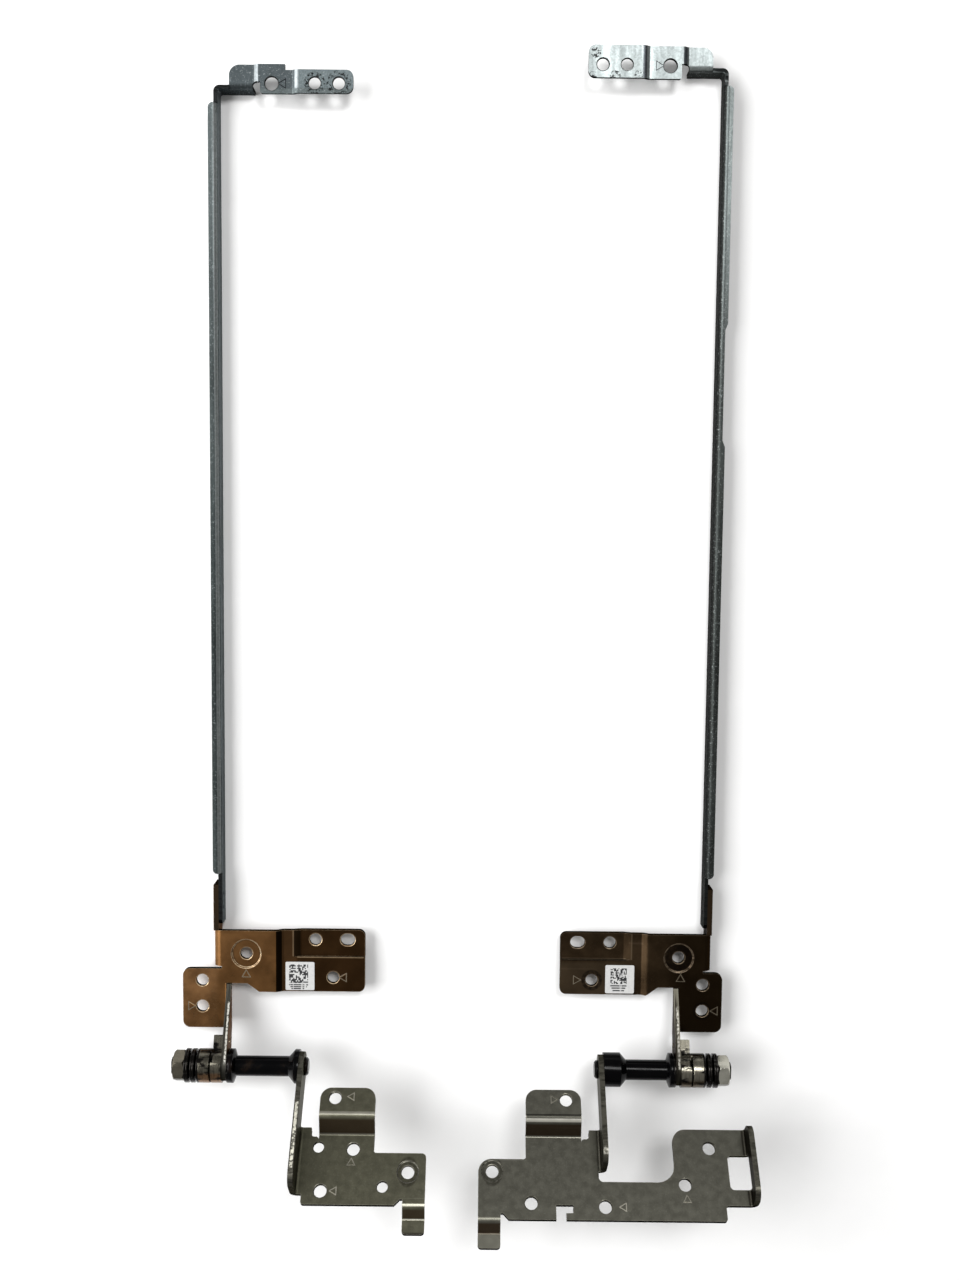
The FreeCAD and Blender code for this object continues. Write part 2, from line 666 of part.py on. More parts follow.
def lock_nut(side):
    """Hexagonal nut, chamfered at both ends."""
    start = stack_places(side)["nut"]
    end = start + NUT_LENGTH
    corner_r = NUT_FLATS / 2 / math.cos(math.pi / NUT_SIDES)
    angles = [2 * math.pi * k / NUT_SIDES for k in range(NUT_SIDES)]
    corners = [V(start, corner_r * math.cos(angle), corner_r * math.sin(angle)) for angle in angles]
    hexagon = Part.Face(Part.makePolygon(corners + corners[:1])).extrude(V(NUT_LENGTH, 0, 0))
    crown = turned([
        (start, 0), (start, corner_r - NUT_CHAMFER), (start + NUT_CHAMFER, corner_r),
        (end - NUT_CHAMFER, corner_r), (end, corner_r - NUT_CHAMFER), (end, 0),
    ])
    return hexagon.common(crown).cut(axial(JOURNAL_R + FIT_CLEARANCE, start, end))


def base_ear(side, lower_end):
    """Ear folded up from the base plate, reaching along Y to the axis."""
    base = side.base_x
    mid_x = base + BRACKET_T / 2
    fold = folded([(mid_x + FOLD_ROOT, BASE_MID_Z), (mid_x, BASE_MID_Z), (mid_x, BASE_EAR_R)], BRACKET_T)
    foot = BASE_TOP_Z - BRACKET_T
    profile = outline([
        (lower_end, foot, 0), (EAR_TOP, foot, 0), (EAR_TOP, -BASE_EAR_R, 0),
        (0, -BASE_EAR_R, 0), (0, BASE_EAR_R, 0), (lower_end, BASE_EAR_R, EAR_LOWER_R),
    ])
    strip = along_y(fold, lower_end, BASE_EAR_R).common(along_x(profile, base, base + FOLD_ROOT))
    return joined([strip, axial(BASE_EAR_R, base, base + BRACKET_T)])


def raised_tab(side):
    """Upper tab, joggled up from the base plate towards the axis."""
    left = side.base_x + RAISED_TAB_X
    right = left + RAISED_TAB_WIDTH
    root = RAISED_TAB_FOOT - FOLD_ROOT
    level = BASE_MID_Z + RAISED_TAB_RISE
    section = folded([
        (root, BASE_MID_Z), (RAISED_TAB_FOOT, BASE_MID_Z),
        (RAISED_TAB_FOLD, level), (RAISED_TAB_END, level),
    ], BRACKET_T)
    plan = outline([
        (left, root, 0), (right, root, 0),
        (right, RAISED_TAB_END, RAISED_TAB_R), (left, RAISED_TAB_END, RAISED_TAB_R),
    ])
    return along_x(section, left, right).common(upright(plan))


def lowered_tab(side, width, bottom):
    """Lower tab, joggled down at the inboard corner of the base plate."""
    right = side.base_x + width
    left = right - LOWERED_TAB_WIDTH
    level = BASE_MID_Z - LOWERED_TAB_DROP
    end = bottom - LOWERED_TAB_RUN - LOWERED_TAB_FLAT
    section = folded([
        (bottom + FOLD_ROOT, BASE_MID_Z), (bottom, BASE_MID_Z),
        (bottom - LOWERED_TAB_RUN, level), (end, level),
    ], BRACKET_T)
    plan = outline([
        (left, end, LOWERED_TAB_R), (right, end, LOWERED_TAB_R), (right, bottom + FOLD_ROOT, 0),
        (left, bottom + FOLD_ROOT, 0),
    ])
    return along_x(section, left, right).common(upright(plan))


def tab_side_corners(bottom, width, shoulder, shoulder_r):
    """Inboard edge shared by both base plates, from the lowered tab up to the ear, X from the ear."""
    tab_left = width - LOWERED_TAB_WIDTH
    inset = tab_left - BASE_RELIEF
    flat_end = bottom + CORNER
    raised_right = RAISED_TAB_X + RAISED_TAB_WIDTH
    flat_top = RAISED_TAB_FOOT - CORNER
    notch_left = RAISED_TAB_X - U_NOTCH_WIDTH
    notch_y = RAISED_TAB_FOOT - U_NOTCH_DEPTH
    return [
        (inset - BASE_CHAMFER, bottom, 0), (inset, bottom + BASE_CHAMFER, 0),
        (tab_left, bottom + BASE_CHAMFER, 0), (tab_left, flat_end, 0), (width, flat_end, 0),
        (width, shoulder, shoulder_r), (raised_right, shoulder, BEND_R), (raised_right, flat_top, 0),
        (RAISED_TAB_X, flat_top, 0), (RAISED_TAB_X, notch_y, U_NOTCH_R), (notch_left, notch_y, U_NOTCH_R),
        (notch_left, EAR_TOP, BEND_R), (CORNER, EAR_TOP, 0),
    ]


def left_base_corners():
    """Plan of the left base plate, X from the ear's outboard face."""
    inboard = tab_side_corners(LEFT_BOTTOM, LEFT_WIDTH, LEFT_SHOULDER, LEFT_SHOULDER_R)
    return [(LEFT_FOOT_X, LEFT_BOTTOM, BEND_R)] + inboard + [
        (CORNER, LEFT_EAR_END, 0), (LEFT_FOOT_X, LEFT_EAR_END, 0),
    ]


def right_base_corners():
    """Plan of the right base plate with its slot, U-shaped cut and lobe."""
    slot_right = SLOT_X + SLOT_WIDTH
    mouth = slot_right - SLOT_MOUTH
    fold = FLANGE_X + CORNER
    return [
        (FOOT_STEP_X, RIGHT_BOTTOM, BEND_R), (mouth, RIGHT_BOTTOM, 0),
        (mouth, SLOT_FOOT, 0), (SLOT_X, SLOT_FOOT, 0),
        (SLOT_X, SLOT_TOP, 0), (slot_right, SLOT_TOP, 0), (slot_right, RIGHT_BOTTOM, 0),
    ] + tab_side_corners(RIGHT_BOTTOM, RIGHT_WIDTH, RIGHT_SHOULDER, RIGHT_SHOULDER_R) + [
        (CORNER, RIGHT_EAR_END, 0), (CORNER, U_CUT_BOTTOM, U_CUT_RELIEF_R), (LOBE_X, U_CUT_BOTTOM, U_CUT_R),
        (LOBE_X, LOBE_TOP, LOBE_R), (fold, LOBE_TOP, 0),
        (fold, FLANGE_END, 0), (FOOT_STEP_X, FLANGE_END, BEND_R),
    ]


def end_flange(side):
    """Flange folded up at the outboard end of the right base plate."""
    mid_x = side.base_x + FLANGE_X + BRACKET_T / 2
    top = BASE_TOP_Z + FLANGE_RISE
    section = folded([(mid_x + FOLD_ROOT, BASE_MID_Z), (mid_x, BASE_MID_Z), (mid_x, top)], BRACKET_T)
    foot = BASE_TOP_Z - BRACKET_T
    profile = outline([
        (FLANGE_END, foot, 0), (LOBE_TOP, foot, 0),
        (LOBE_TOP, top, FLANGE_TOP_R), (FLANGE_END, top, FLANGE_TOP_R),
    ])
    outer = side.base_x + FLANGE_X
    return along_y(section, FLANGE_END, LOBE_TOP).common(along_x(profile, outer, outer + 2 * FOLD_ROOT))


def base_bracket(side):
    """Base plate with its ear and tabs, flat as before opening, then turned to its place."""
    base = side.base_x
    if side.mirrored:
        corners, width, bottom, ear_end = right_base_corners(), RIGHT_WIDTH, RIGHT_BOTTOM, RIGHT_EAR_END
        holes = [(x, y, BASE_HOLE_R) for x, y in RIGHT_HOLES]
        ring_x, ring_y = RIGHT_WIDTH - RIGHT_RING_INSET, RIGHT_RING_Y
    else:
        corners, width, bottom, ear_end = left_base_corners(), LEFT_WIDTH, LEFT_BOTTOM, LEFT_EAR_END
        holes = [(x, y, BASE_HOLE_R) for x, y in LEFT_HOLES]
        holes += [(x, y, SMALL_HOLE_R) for x, y in LEFT_SMALL_HOLES]
        ring_x, ring_y = LEFT_WIDTH - LEFT_RING_INSET, LEFT_RING_Y
    holes.append((ring_x, ring_y, BASE_HOLE_R))
    holes.append((RAISED_TAB_X + RAISED_HOLE_X, RAISED_TAB_END - RAISED_HOLE_Y, BASE_HOLE_R))
    plan = outline([(base + x, y, radius) for x, y, radius in corners])
    plate = upright(plan, BASE_TOP_Z - BRACKET_T, BASE_TOP_Z)
    pieces = [plate, base_ear(side, ear_end), raised_tab(side), lowered_tab(side, width, bottom)]
    tools = [hole(base + x, y, radius) for x, y, radius in holes]
    tools.append(Part.makeCylinder(RING_R, RING_DEPTH, V(base + ring_x, ring_y, BASE_TOP_Z - RING_DEPTH)))
    tools.append(axial(TENON_R, base, base + BRACKET_T))
    if side.mirrored:
        pieces.append(end_flange(side))
        window = outline([
            (base + FLANGE_X, WINDOW_BOTTOM, 0), (base + WINDOW_X, WINDOW_BOTTOM, WINDOW_R),
            (base + WINDOW_X, WINDOW_TOP, WINDOW_R), (base + FLANGE_X, WINDOW_TOP, 0),
        ])
        tools.append(upright(window, BASE_TOP_Z - BRACKET_T, BASE_TOP_Z + WINDOW_RISE))
    bracket = joined(pieces).cut(tools)
    bracket.rotate(V(), V(1, 0, 0), OPEN_ANGLE - HALF_TURN)
    return bracket


def hinge_pieces(side):
    """All pieces of one hinge by name, with the axis on the X axis."""
    pieces = {
        "base_bracket": base_bracket(side),
        "hinge_shaft": hinge_shaft(side),
        "friction_washer": friction_washer(side),
        "cam_plate": cam_plate(side),
        "cam_follower": cam_follower(side),
        "thrust_washer": thrust_washer(side),
        "lock_nut": lock_nut(side),
        "display_bracket": display_bracket(side),
        "display_rail": display_rail(side),
        "label": label(side),
    }
    for index in range(SPRING_COUNT):
        pieces[f"disc_spring_{index + 1}"] = disc_spring(side, index)
    return pieces


def build():
    """Both hinges, with the origin on the table under the middle of the pair's box."""
    shapes = {}
    for side in (LEFT, RIGHT):
        for name, shape in hinge_pieces(side).items():
            placed = shape.mirror(V(), V(1, 0, 0)) if side.mirrored else shape
            shapes[f"{side.name}_{name}"] = placed
    bounds = Part.makeCompound(list(shapes.values())).optimalBoundingBox()
    shift = V(-bounds.Center.x, -bounds.Center.y, AXIS_HEIGHT)
    for shape in shapes.values():
        shape.translate(shift)
    return shapes, shift


def main():
    """Write one file for each piece."""
    os.makedirs("parts", exist_ok=True)
    shapes, _ = build()
    for name, shape in shapes.items():
        shape.exportStep(os.path.join("parts", f"{name}.step"))


if __name__ == "__main__":
    main()
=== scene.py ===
"""Looks of a pair of laptop hinges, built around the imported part.

Places are metres in the part's own frame: X along the hinge axis, Y up the display arms, Z up.
Sizes that belong to a piece are given in millimetres and multiplied by MM where they are used.
A finish's relief is the strength of its bump and the depth in millimetres.
"""
import json
import logging
import math
from dataclasses import dataclass, field, replace
from enum import Enum

import bmesh
import bpy
from mathutils import Matrix, Vector
from mathutils.bvhtree import BVHTree


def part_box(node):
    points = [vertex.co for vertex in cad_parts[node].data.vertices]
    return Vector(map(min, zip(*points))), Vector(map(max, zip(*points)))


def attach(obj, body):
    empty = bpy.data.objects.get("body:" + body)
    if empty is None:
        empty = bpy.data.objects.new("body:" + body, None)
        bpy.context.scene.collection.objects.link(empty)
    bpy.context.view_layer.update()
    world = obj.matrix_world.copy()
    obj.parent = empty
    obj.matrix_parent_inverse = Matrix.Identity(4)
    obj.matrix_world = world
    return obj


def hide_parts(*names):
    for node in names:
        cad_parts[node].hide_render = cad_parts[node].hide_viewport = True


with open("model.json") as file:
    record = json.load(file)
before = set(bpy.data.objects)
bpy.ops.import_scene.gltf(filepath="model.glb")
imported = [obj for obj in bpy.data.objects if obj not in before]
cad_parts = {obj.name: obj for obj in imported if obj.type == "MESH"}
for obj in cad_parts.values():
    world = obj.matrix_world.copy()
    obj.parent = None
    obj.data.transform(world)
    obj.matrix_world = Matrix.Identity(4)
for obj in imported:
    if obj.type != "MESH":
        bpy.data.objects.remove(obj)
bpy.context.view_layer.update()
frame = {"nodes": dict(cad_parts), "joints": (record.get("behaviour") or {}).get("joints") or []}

LOG = logging.getLogger("hinges")
MM = 0.001
HALF_SPACING = 60.0  # from a display bracket's side wall to the middle of the pair, in millimetres
RIM_LAYER = "rim"  # marks the faces that rounding adds
MERGE_DISTANCE = 1e-6  # in metres
Colour = tuple[float, float, float]
Triple = tuple[float, float, float]
Span = tuple[float, float]
Socket = bpy.types.NodeSocket
Material = bpy.types.Material
Piece = bpy.types.Object
Shape = bmesh.types.BMesh
EVEN: Triple = (1.0, 1.0, 1.0)
ACROSS_X: Triple = (1.0, 0.05, 0.05)  # stretch of lines that run across X
MID_LIMITS: Span = (0.3, 0.7)  # most values of a noise lie between these


class Side(Enum):
    """The two hinges of the pair."""

    LEFT = "left"
    RIGHT = "right"

    @property
    def inboard(self) -> float:
        """Sign of X towards the middle of the pair."""
        return 1.0 if self is Side.LEFT else -1.0

    @property
    def joint(self) -> Vector:
        """Point on this hinge's axis."""
        return next(Vector(j["pos_m"]) for j in frame["joints"] if j["name"] == f"{self.value}_hinge")

    @property
    def ear_inset(self) -> float:
        """Display bracket's side wall to the start of the shaft, in millimetres."""
        return 4.4 if self is Side.LEFT else 9.1

    @property
    def midline(self) -> float:
        """X of the middle between the two side walls, in metres."""
        return self.joint.x + self.inboard * (HALF_SPACING - self.ear_inset) * MM

    @property
    def display_body(self) -> str:
        """Name of the body that swings on this hinge."""
        return f"{self.value}_display_side"


class Tip(Enum):
    """Way in which a stamped mark points, as a turn about Z in degrees from +X."""

    OUTBOARD = 180.0
    INBOARD = 0.0
    UP = 90.0


class Surface(Enum):
    """Sorts of face on a dressed sheet, by material index."""

    FACE = 0
    EDGE = 1
    MARK = 2
    RIM = 3


class Axis(Enum):
    """Object coordinate that a fade follows."""

    X = "X"
    Y = "Y"
    Z = "Z"


@dataclass(frozen=True)
class Pattern:
    """Noise with features per metre, which fades from floor to share between two of its values."""

    scale: float
    limits: Span = MID_LIMITS
    share: float = 1.0
    floor: float = 0.0
    detail: float = 3.0
    roughness: float = 0.55
    stretch: Triple = EVEN
    turn: float = 0.0


class Sketch:
    """One material while its nodes are laid out."""

    RING_SOFTNESS = 0.15
    EDGE_MASK_SAMPLES = 6
    EDGE_MASK_LIMITS: Span = (0.8, 0.97)

    def __init__(self, name: str) -> None:
        """Start a material with a shader and an output."""
        self.material = bpy.data.materials.new(name)
        self.material.use_nodes = True
        self.tree = self.material.node_tree
        self.tree.nodes.clear()
        self.shader = self.node("BsdfPrincipled")
        self.node("OutputMaterial", {"Surface": self.shader.outputs["BSDF"]})
        self.place = self.node("TexCoord").outputs["Object"]

    def node(self, kind: str, inputs: dict[str | int, object] | None = None,
             **settings: object) -> bpy.types.Node:
        """Add a shader node of one kind, with its settings and inputs filled."""
        made = self.tree.nodes.new(f"ShaderNode{kind}")
        for name, value in settings.items():
            setattr(made, name, value)
        for name, value in (inputs or {}).items():
            self.give(made.inputs[name], value)
        return made

    def give(self, socket: Socket, value: object) -> None:
        """Put a number, a colour or another node's output into a socket."""
        if isinstance(value, Socket):
            self.tree.links.new(value, socket)
        elif isinstance(value, tuple) and socket.type == "RGBA":
            socket.default_value = (*value, 1.0)
        else:
            socket.default_value = value

    def feed(self, **inputs: object) -> None:
        """Fill the shader's inputs, named with underscores for spaces."""
        for name, value in inputs.items():
            self.give(self.shader.inputs[name.replace("_", " ").title().replace("Ior", "IOR")], value)

    def moved(self, scale: Triple = EVEN, turn: float = 0.0,
              centre: Triple = (0.0, 0.0, 0.0)) -> Socket:
        """Object coordinates, centred, turned about Z by degrees and stretched."""
        shift = self.node("VectorMath", {0: self.place, 1: centre}, operation="SUBTRACT")
        mapping = self.node("Mapping", {"Vector": shift.outputs["Vector"], "Scale": scale,
                                        "Rotation": (0.0, 0.0, math.radians(turn))})
        return mapping.outputs["Vector"]

    def noise(self, pattern: Pattern) -> Socket:
        """Noise of a pattern as it comes, not yet faded."""
        place = self.moved(pattern.stretch, pattern.turn)
        texture = self.node("TexNoise", {"Vector": place, "Scale": pattern.scale,
                                         "Detail": pattern.detail, "Roughness": pattern.roughness})
        return texture.outputs["Fac"]

    def faded(self, noise: Socket, pattern: Pattern) -> Socket:
        """Noise of a pattern, faded in between its limits."""
        return self.window(noise, *pattern.limits, pattern.floor, pattern.share)

    def cells(self, scale: float) -> Socket:
        """Flat random value in each Voronoi cell, the scale in cells per metre."""
        texture = self.node("TexVoronoi", {"Vector": self.place, "Scale": scale})
        return self.node("RGBToBW", {"Color": texture.outputs["Color"]}).outputs["Val"]

    def along(self, axis: Axis, source: Socket | None = None) -> Socket:
        """One coordinate of a vector, by default of the object's own place."""
        return self.node("SeparateXYZ", {"Vector": source or self.place}).outputs[axis.value]

    def window(self, value: Socket, low: float, high: float,
               bottom: float = 0.0, top: float = 1.0) -> Socket:
        """Smooth step of a value, from bottom at low to top at high."""
        inputs = {"Value": value, "From Min": low, "From Max": high, "To Min": bottom, "To Max": top}
        return self.node("MapRange", inputs, interpolation_type="SMOOTHSTEP").outputs["Result"]

    def ring(self, x: float, y: float, inner: float, outer: float) -> Socket:
        """One between two distances from a vertical line, else zero; a full disc if inner is zero."""
        flat = self.moved((1.0, 1.0, 0.0), centre=(x, y, 0.0))
        distance = self.node("VectorMath", {0: flat}, operation="LENGTH").outputs["Value"]
        soft = self.RING_SOFTNESS * outer
        inside = self.window(distance, outer - soft, outer, 1.0, 0.0)
        if inner == 0.0:
            return inside
        return self.sum("MULTIPLY", inside, self.window(distance, inner - soft, inner))

    def band(self, axis: Axis, low: float, high: float, soft: float) -> Socket:
        """One between two values of a coordinate, else zero, with soft borders."""
        place = self.along(axis)
        below = self.window(place, high, high + soft, 1.0, 0.0)
        return self.sum("MULTIPLY", self.window(place, low - soft, low), below)

    def sum(self, operation: str, first: object, second: object) -> Socket:
        """Result of a Math node on two numbers or sockets."""
        return self.node("Math", {0: first, 1: second}, operation=operation).outputs["Value"]

    def mix(self, factor: Socket, first: object, second: object) -> Socket:
        """Blend of two colours or sockets, by the share of the second."""
        mixer = self.node("Mix", {0: factor}, data_type="RGBA")
        colours = [s for s in mixer.inputs if s.type == "RGBA"]
        self.give(colours[0], first)
        self.give(colours[1], second)
        return next(s for s in mixer.outputs if s.type == "RGBA")

    def rubbed(self, radius: float) -> Socket:
        """One along the sharp edges of a piece and zero further than a radius in metres from them,
        where abrasion and a painted highlight go.
        """
        soft = self.node("Bevel", {"Radius": radius}, samples=self.EDGE_MASK_SAMPLES).outputs["Normal"]
        own = self.node("NewGeometry").outputs["Normal"]
        turn = self.node("VectorMath", {0: soft, 1: own}, operation="DOT_PRODUCT").outputs["Value"]
        return self.window(turn, *self.EDGE_MASK_LIMITS, 1.0, 0.0)

    def bump(self, height: Socket, strength: float, depth: float) -> None:
        """Raise the surface by a height pattern from 0 to 1, its depth in millimetres."""
        bumper = self.node("Bump", {"Strength": strength, "Distance": depth * MM, "Height": height})
        self.give(self.shader.inputs["Normal"], bumper.outputs["Normal"])


@dataclass(frozen=True)
class Fade:
    """Change of colour along one coordinate."""

    axis: Axis
    start: float
    end: float
    colour: Colour
    share: float = 0.9

    def over(self, sketch: Sketch, tone: Socket) -> Socket:
        """Lay the change over a tone."""
        cover = sketch.window(sketch.along(self.axis), self.start, self.end, 0.0, self.share)
        return sketch.mix(cover, tone, self.colour)


@dataclass(frozen=True)
class Strip:
    """Strip of a sheet between two values of one coordinate in metres, in a colour of its own, mostly
    painted light or shade.
    """

    axis: Axis
    low: float
    high: float
    colour: Colour
    share: float = 1.0
    soft: float = 0.00015
    within: Span | None = None

    def over(self, sketch: Sketch, tone: Socket, mask: Socket | None = None) -> Socket:
        """Lay the strip over a tone, within the mask and its range of the other coordinate if given."""
        strip = sketch.band(self.axis, self.low, self.high, self.soft)
        cover = sketch.sum("MULTIPLY", strip, self.share)
        if self.within is not None:
            other = Axis.X if self.axis is Axis.Y else Axis.Y
            cover = sketch.sum("MULTIPLY", cover, sketch.band(other, *self.within, self.soft))
        if mask is not None:
            cover = sketch.sum("MULTIPLY", cover, mask)
        return sketch.mix(cover, tone, self.colour)


@dataclass(frozen=True)
class StainAndShade:
    """Dark ring or spot, in metres: a mark that a screw head, a boss or rubbing has left, or a ring of
    painted shade round a recess.
    """

    x: float
    y: float
    inner: float
    outer: float
    colour: Colour = (0.008, 0.006, 0.005)
    share: float = 0.75

    def over(self, sketch: Sketch, tone: Socket, patch: Socket, pattern: Pattern) -> Socket:
        """Lay the ring or spot over a tone, broken up by a noise that fades in up to its share."""
        ring = sketch.ring(self.x, self.y, self.inner, self.outer)
        broken_up = sketch.faded(patch, replace(pattern, share=self.share))
        return sketch.mix(sketch.sum("MULTIPLY", ring, broken_up), tone, self.colour)


@dataclass(frozen=True)
class Finish:
    """Look of a piece, laid out in a material of its own."""

    name: str

    def lay_out(self, sketch: Sketch) -> None:
        """Lay out the nodes."""
        raise NotImplementedError

    def material(self) -> Material:
        """Make the finished material."""
        sketch = Sketch(self.name)
        self.lay_out(sketch)
        return sketch.material


@dataclass(frozen=True)
class PlatedSheet(Finish):
    """Satin plated sheet with soft clouds, fine grain, a few scratches and pits, and painted light and
    shade.
    """

    colour: Colour
    deep: Colour
    bright: Colour
    rough: Span = (0.26, 0.4)
    fades: tuple[Fade, ...] = ()
    strips: tuple[Strip, ...] = ()
    stains_and_shade: tuple[StainAndShade, ...] = ()
    edge_wear_and_highlight: Colour | None = None
    edge_wear_and_highlight_reach: float = 0.28
    glance: Colour = (0.4, 0.4, 0.4)
    cloud: Pattern = Pattern(160.0, detail=5.0)
    grain: Pattern = Pattern(2600.0, (0.5, 0.8), 0.2, roughness=0.7)
    scratch: Pattern = Pattern(700.0, (0.72, 0.76), 0.25, detail=1.0,
                               stretch=(0.03, 1.0, 1.0), turn=37.0)
    pits: Pattern = Pattern(1900.0, (0.7, 0.78), 0.5, detail=2.0)
    patches: Pattern = Pattern(1500.0, (0.35, 0.6), floor=0.35)
    broken_up: Pattern = Pattern(1500.0, (0.3, 0.6), floor=0.4)
    relief: Span = (0.08, 0.03)

    def lay_out(self, sketch: Sketch) -> None:
        """Lay out the nodes."""
        cloud, grain, pits = (sketch.noise(p) for p in (self.cloud, self.grain, self.pits))
        scratch, patch = sketch.noise(self.scratch), sketch.noise(self.patches)
        tone = sketch.mix(sketch.faded(cloud, self.cloud), self.deep, self.colour)
        tone = sketch.mix(sketch.faded(grain, self.grain), tone, self.bright)
        tone = sketch.mix(sketch.faded(scratch, self.scratch), tone, self.bright)
        tone = sketch.mix(sketch.faded(pits, self.pits), tone, self.deep)
        # Painted reflection, highlight and shade along coordinates.
        for layer in self.fades + self.strips:
            tone = layer.over(sketch, tone)
        for dark_spot in self.stains_and_shade:
            tone = dark_spot.over(sketch, tone, patch, self.patches)
        # Edge colour: partly abrasion, partly a painted highlight along the sharp edges.
        if self.edge_wear_and_highlight:
            near_edge = sketch.rubbed(self.edge_wear_and_highlight_reach * MM)
            edge_cover = sketch.sum("MULTIPLY", near_edge, sketch.faded(patch, self.broken_up))
            tone = sketch.mix(edge_cover, tone, self.edge_wear_and_highlight)
        sketch.feed(base_color=tone, metallic=1.0, specular_tint=self.glance,
                    roughness=sketch.window(cloud, *self.cloud.limits, *self.rough))
        sketch.bump(sketch.sum("ADD", grain, pits), *self.relief)


@dataclass(frozen=True)
class ShearedEdge(Finish):
    """Cut edge of a sheet: burnished and torn parts, streaks, and strips, mostly painted highlight,
    broken into glints.
    """

    bright: Colour
    dull: Colour
    rough: Span = (0.28, 0.6)
    fades: tuple[Fade, ...] = ()
    streaks: Triple = (0.2, 1.0, 0.2)
    strips: tuple[Strip, ...] = ()
    glance: Colour = (0.2, 0.2, 0.2)
    streak: Pattern = Pattern(2600.0, floor=0.4)
    torn: Pattern = Pattern(1300.0, (0.4, 0.6))
    glint: Pattern = Pattern(1700.0, (0.40, 0.54), floor=0.12)
    rough_limits: Span = (0.35, 0.65)
    relief: Span = (0.1, 0.06)

    def lay_out(self, sketch: Sketch) -> None:
        """Lay out the nodes."""
        streak, torn = (sketch.noise(replace(pattern, stretch=self.streaks))
                        for pattern in (self.streak, self.torn))
        share = sketch.sum("MULTIPLY", sketch.faded(torn, self.torn), sketch.faded(streak, self.streak))
        tone = sketch.mix(share, self.bright, self.dull)
        for fade in self.fades:
            tone = fade.over(sketch, tone)
        glint = sketch.faded(sketch.noise(self.glint), self.glint)
        # Strips, mostly painted highlight, broken into glints.
        for strip in self.strips:
            tone = strip.over(sketch, tone, glint)
        sketch.feed(base_color=tone, metallic=1.0, specular_tint=self.glance,
                    roughness=sketch.window(torn, *self.rough_limits, *self.rough))
        sketch.bump(streak, *self.relief)


@dataclass(frozen=True)
class ZincSheet(Finish):
    """Galvanised sheet: fine spangle, grey smears, painted light and shade on folds and web, and a tab
    with dark scuffs.
    """

    colour: Colour
    dull: Colour
    tab_tone_and_reflection: Colour
    tab_start: float
    speck_colour: Colour
    top_colour: Colour
    top_reach: Span = (0.045, 0.115)
    top_share: float = 0.85
    tab_border: float = 0.4
    glance: Colour = (0.15, 0.15, 0.15)
    rail_strips: tuple[Strip, ...] = ()
    tab_strips: tuple[Strip, ...] = ()
    scuffs: tuple[StainAndShade, ...] = ()
    spangle: Pattern = Pattern(2600.0, (0.2, 0.8), 0.25)
    smear: Pattern = Pattern(260.0, (0.35, 0.7), detail=5.0, roughness=0.65, stretch=(1.0, 0.12, 1.0))
    specks: Pattern = Pattern(2800.0, (0.56, 0.74), 0.5, detail=2.0)
    flakes: Pattern = Pattern(1500.0, (0.5, 0.54), roughness=0.65)
    rough: Span = (0.34, 0.5)
    relief: Span = (0.15, 0.03)

    def lay_out(self, sketch: Sketch) -> None:
        """Lay out the nodes."""
        spangle = sketch.cells(self.spangle.scale)
        smear, specks, flakes = (sketch.noise(p) for p in (self.smear, self.specks, self.flakes))
        upward = sketch.along(Axis.Y)
        on_tab = sketch.window(upward, self.tab_start, self.tab_start + self.tab_border * MM)
        off_tab = sketch.sum("SUBTRACT", 1.0, on_tab)
        tone = sketch.mix(sketch.faded(smear, self.smear), self.dull, self.colour)
        near_top = sketch.window(upward, *self.top_reach, 0.0, self.top_share)
        tone = sketch.mix(near_top, tone, self.top_colour)
        # Painted highlight and shade on the rail's bend and web.
        for strip in self.rail_strips:
            tone = strip.over(sketch, tone, off_tab)
        # Tab tone, partly painted reflection.
        tone = sketch.mix(on_tab, tone, self.tab_tone_and_reflection)
        # Painted shine, reflection and shade on the tab.
        for strip in self.tab_strips:
            tone = strip.over(sketch, tone, on_tab)
        tone = sketch.mix(sketch.faded(spangle, self.spangle), tone, self.dull)
        tone = sketch.mix(sketch.faded(specks, self.specks), tone, self.speck_colour)
        for scuff in self.scuffs:
            tone = scuff.over(sketch, tone, flakes, self.flakes)
        sketch.feed(base_color=tone, metallic=0.85, specular_tint=self.glance, specular_ior_level=0.2,
                    roughness=sketch.window(smear, *MID_LIMITS, *self.rough))
        sketch.bump(sketch.sum("ADD", spangle, specks), *self.relief)


@dataclass(frozen=True)
class GreasedSteel(Finish):
    """Bright steel that black grease has run over."""

    steel: Colour
    brown: Colour
    grease: Colour = (0.010, 0.009, 0.008)
    grease_share: float = 0.5
    grease_border: float = 0.05
    brown_drop: Span = (0.3, 1.6)
    film: Pattern = Pattern(420.0, detail=4.0, roughness=0.6, stretch=(0.5, 1.0, 1.0))
    turning: Pattern = Pattern(5000.0, (0.4, 0.7), 0.5, detail=2.0, stretch=ACROSS_X)
    rough: Span = (0.24, 0.16)
    relief: Span = (0.2, 0.04)

    def lay_out(self, sketch: Sketch) -> None:
        """Lay out the nodes."""
        middle = 1.0 - self.grease_share
        share = sketch.window(sketch.noise(self.film), middle - self.grease_border,
                              middle + self.grease_border)
        turning = sketch.noise(self.turning)
        axis_y = Side.LEFT.joint.y
        low = sketch.window(sketch.along(Axis.Y), *(axis_y - drop * MM for drop in self.brown_drop))
        steel = sketch.mix(low, self.steel, self.brown)
        steel = sketch.mix(sketch.faded(turning, self.turning), steel, self.grease)
        sketch.feed(base_color=sketch.mix(share, steel, self.grease), metallic=0.9,
                    roughness=sketch.window(share, 0.0, 1.0, *self.rough))
        sketch.bump(sketch.sum("ADD", turning, share), *self.relief)


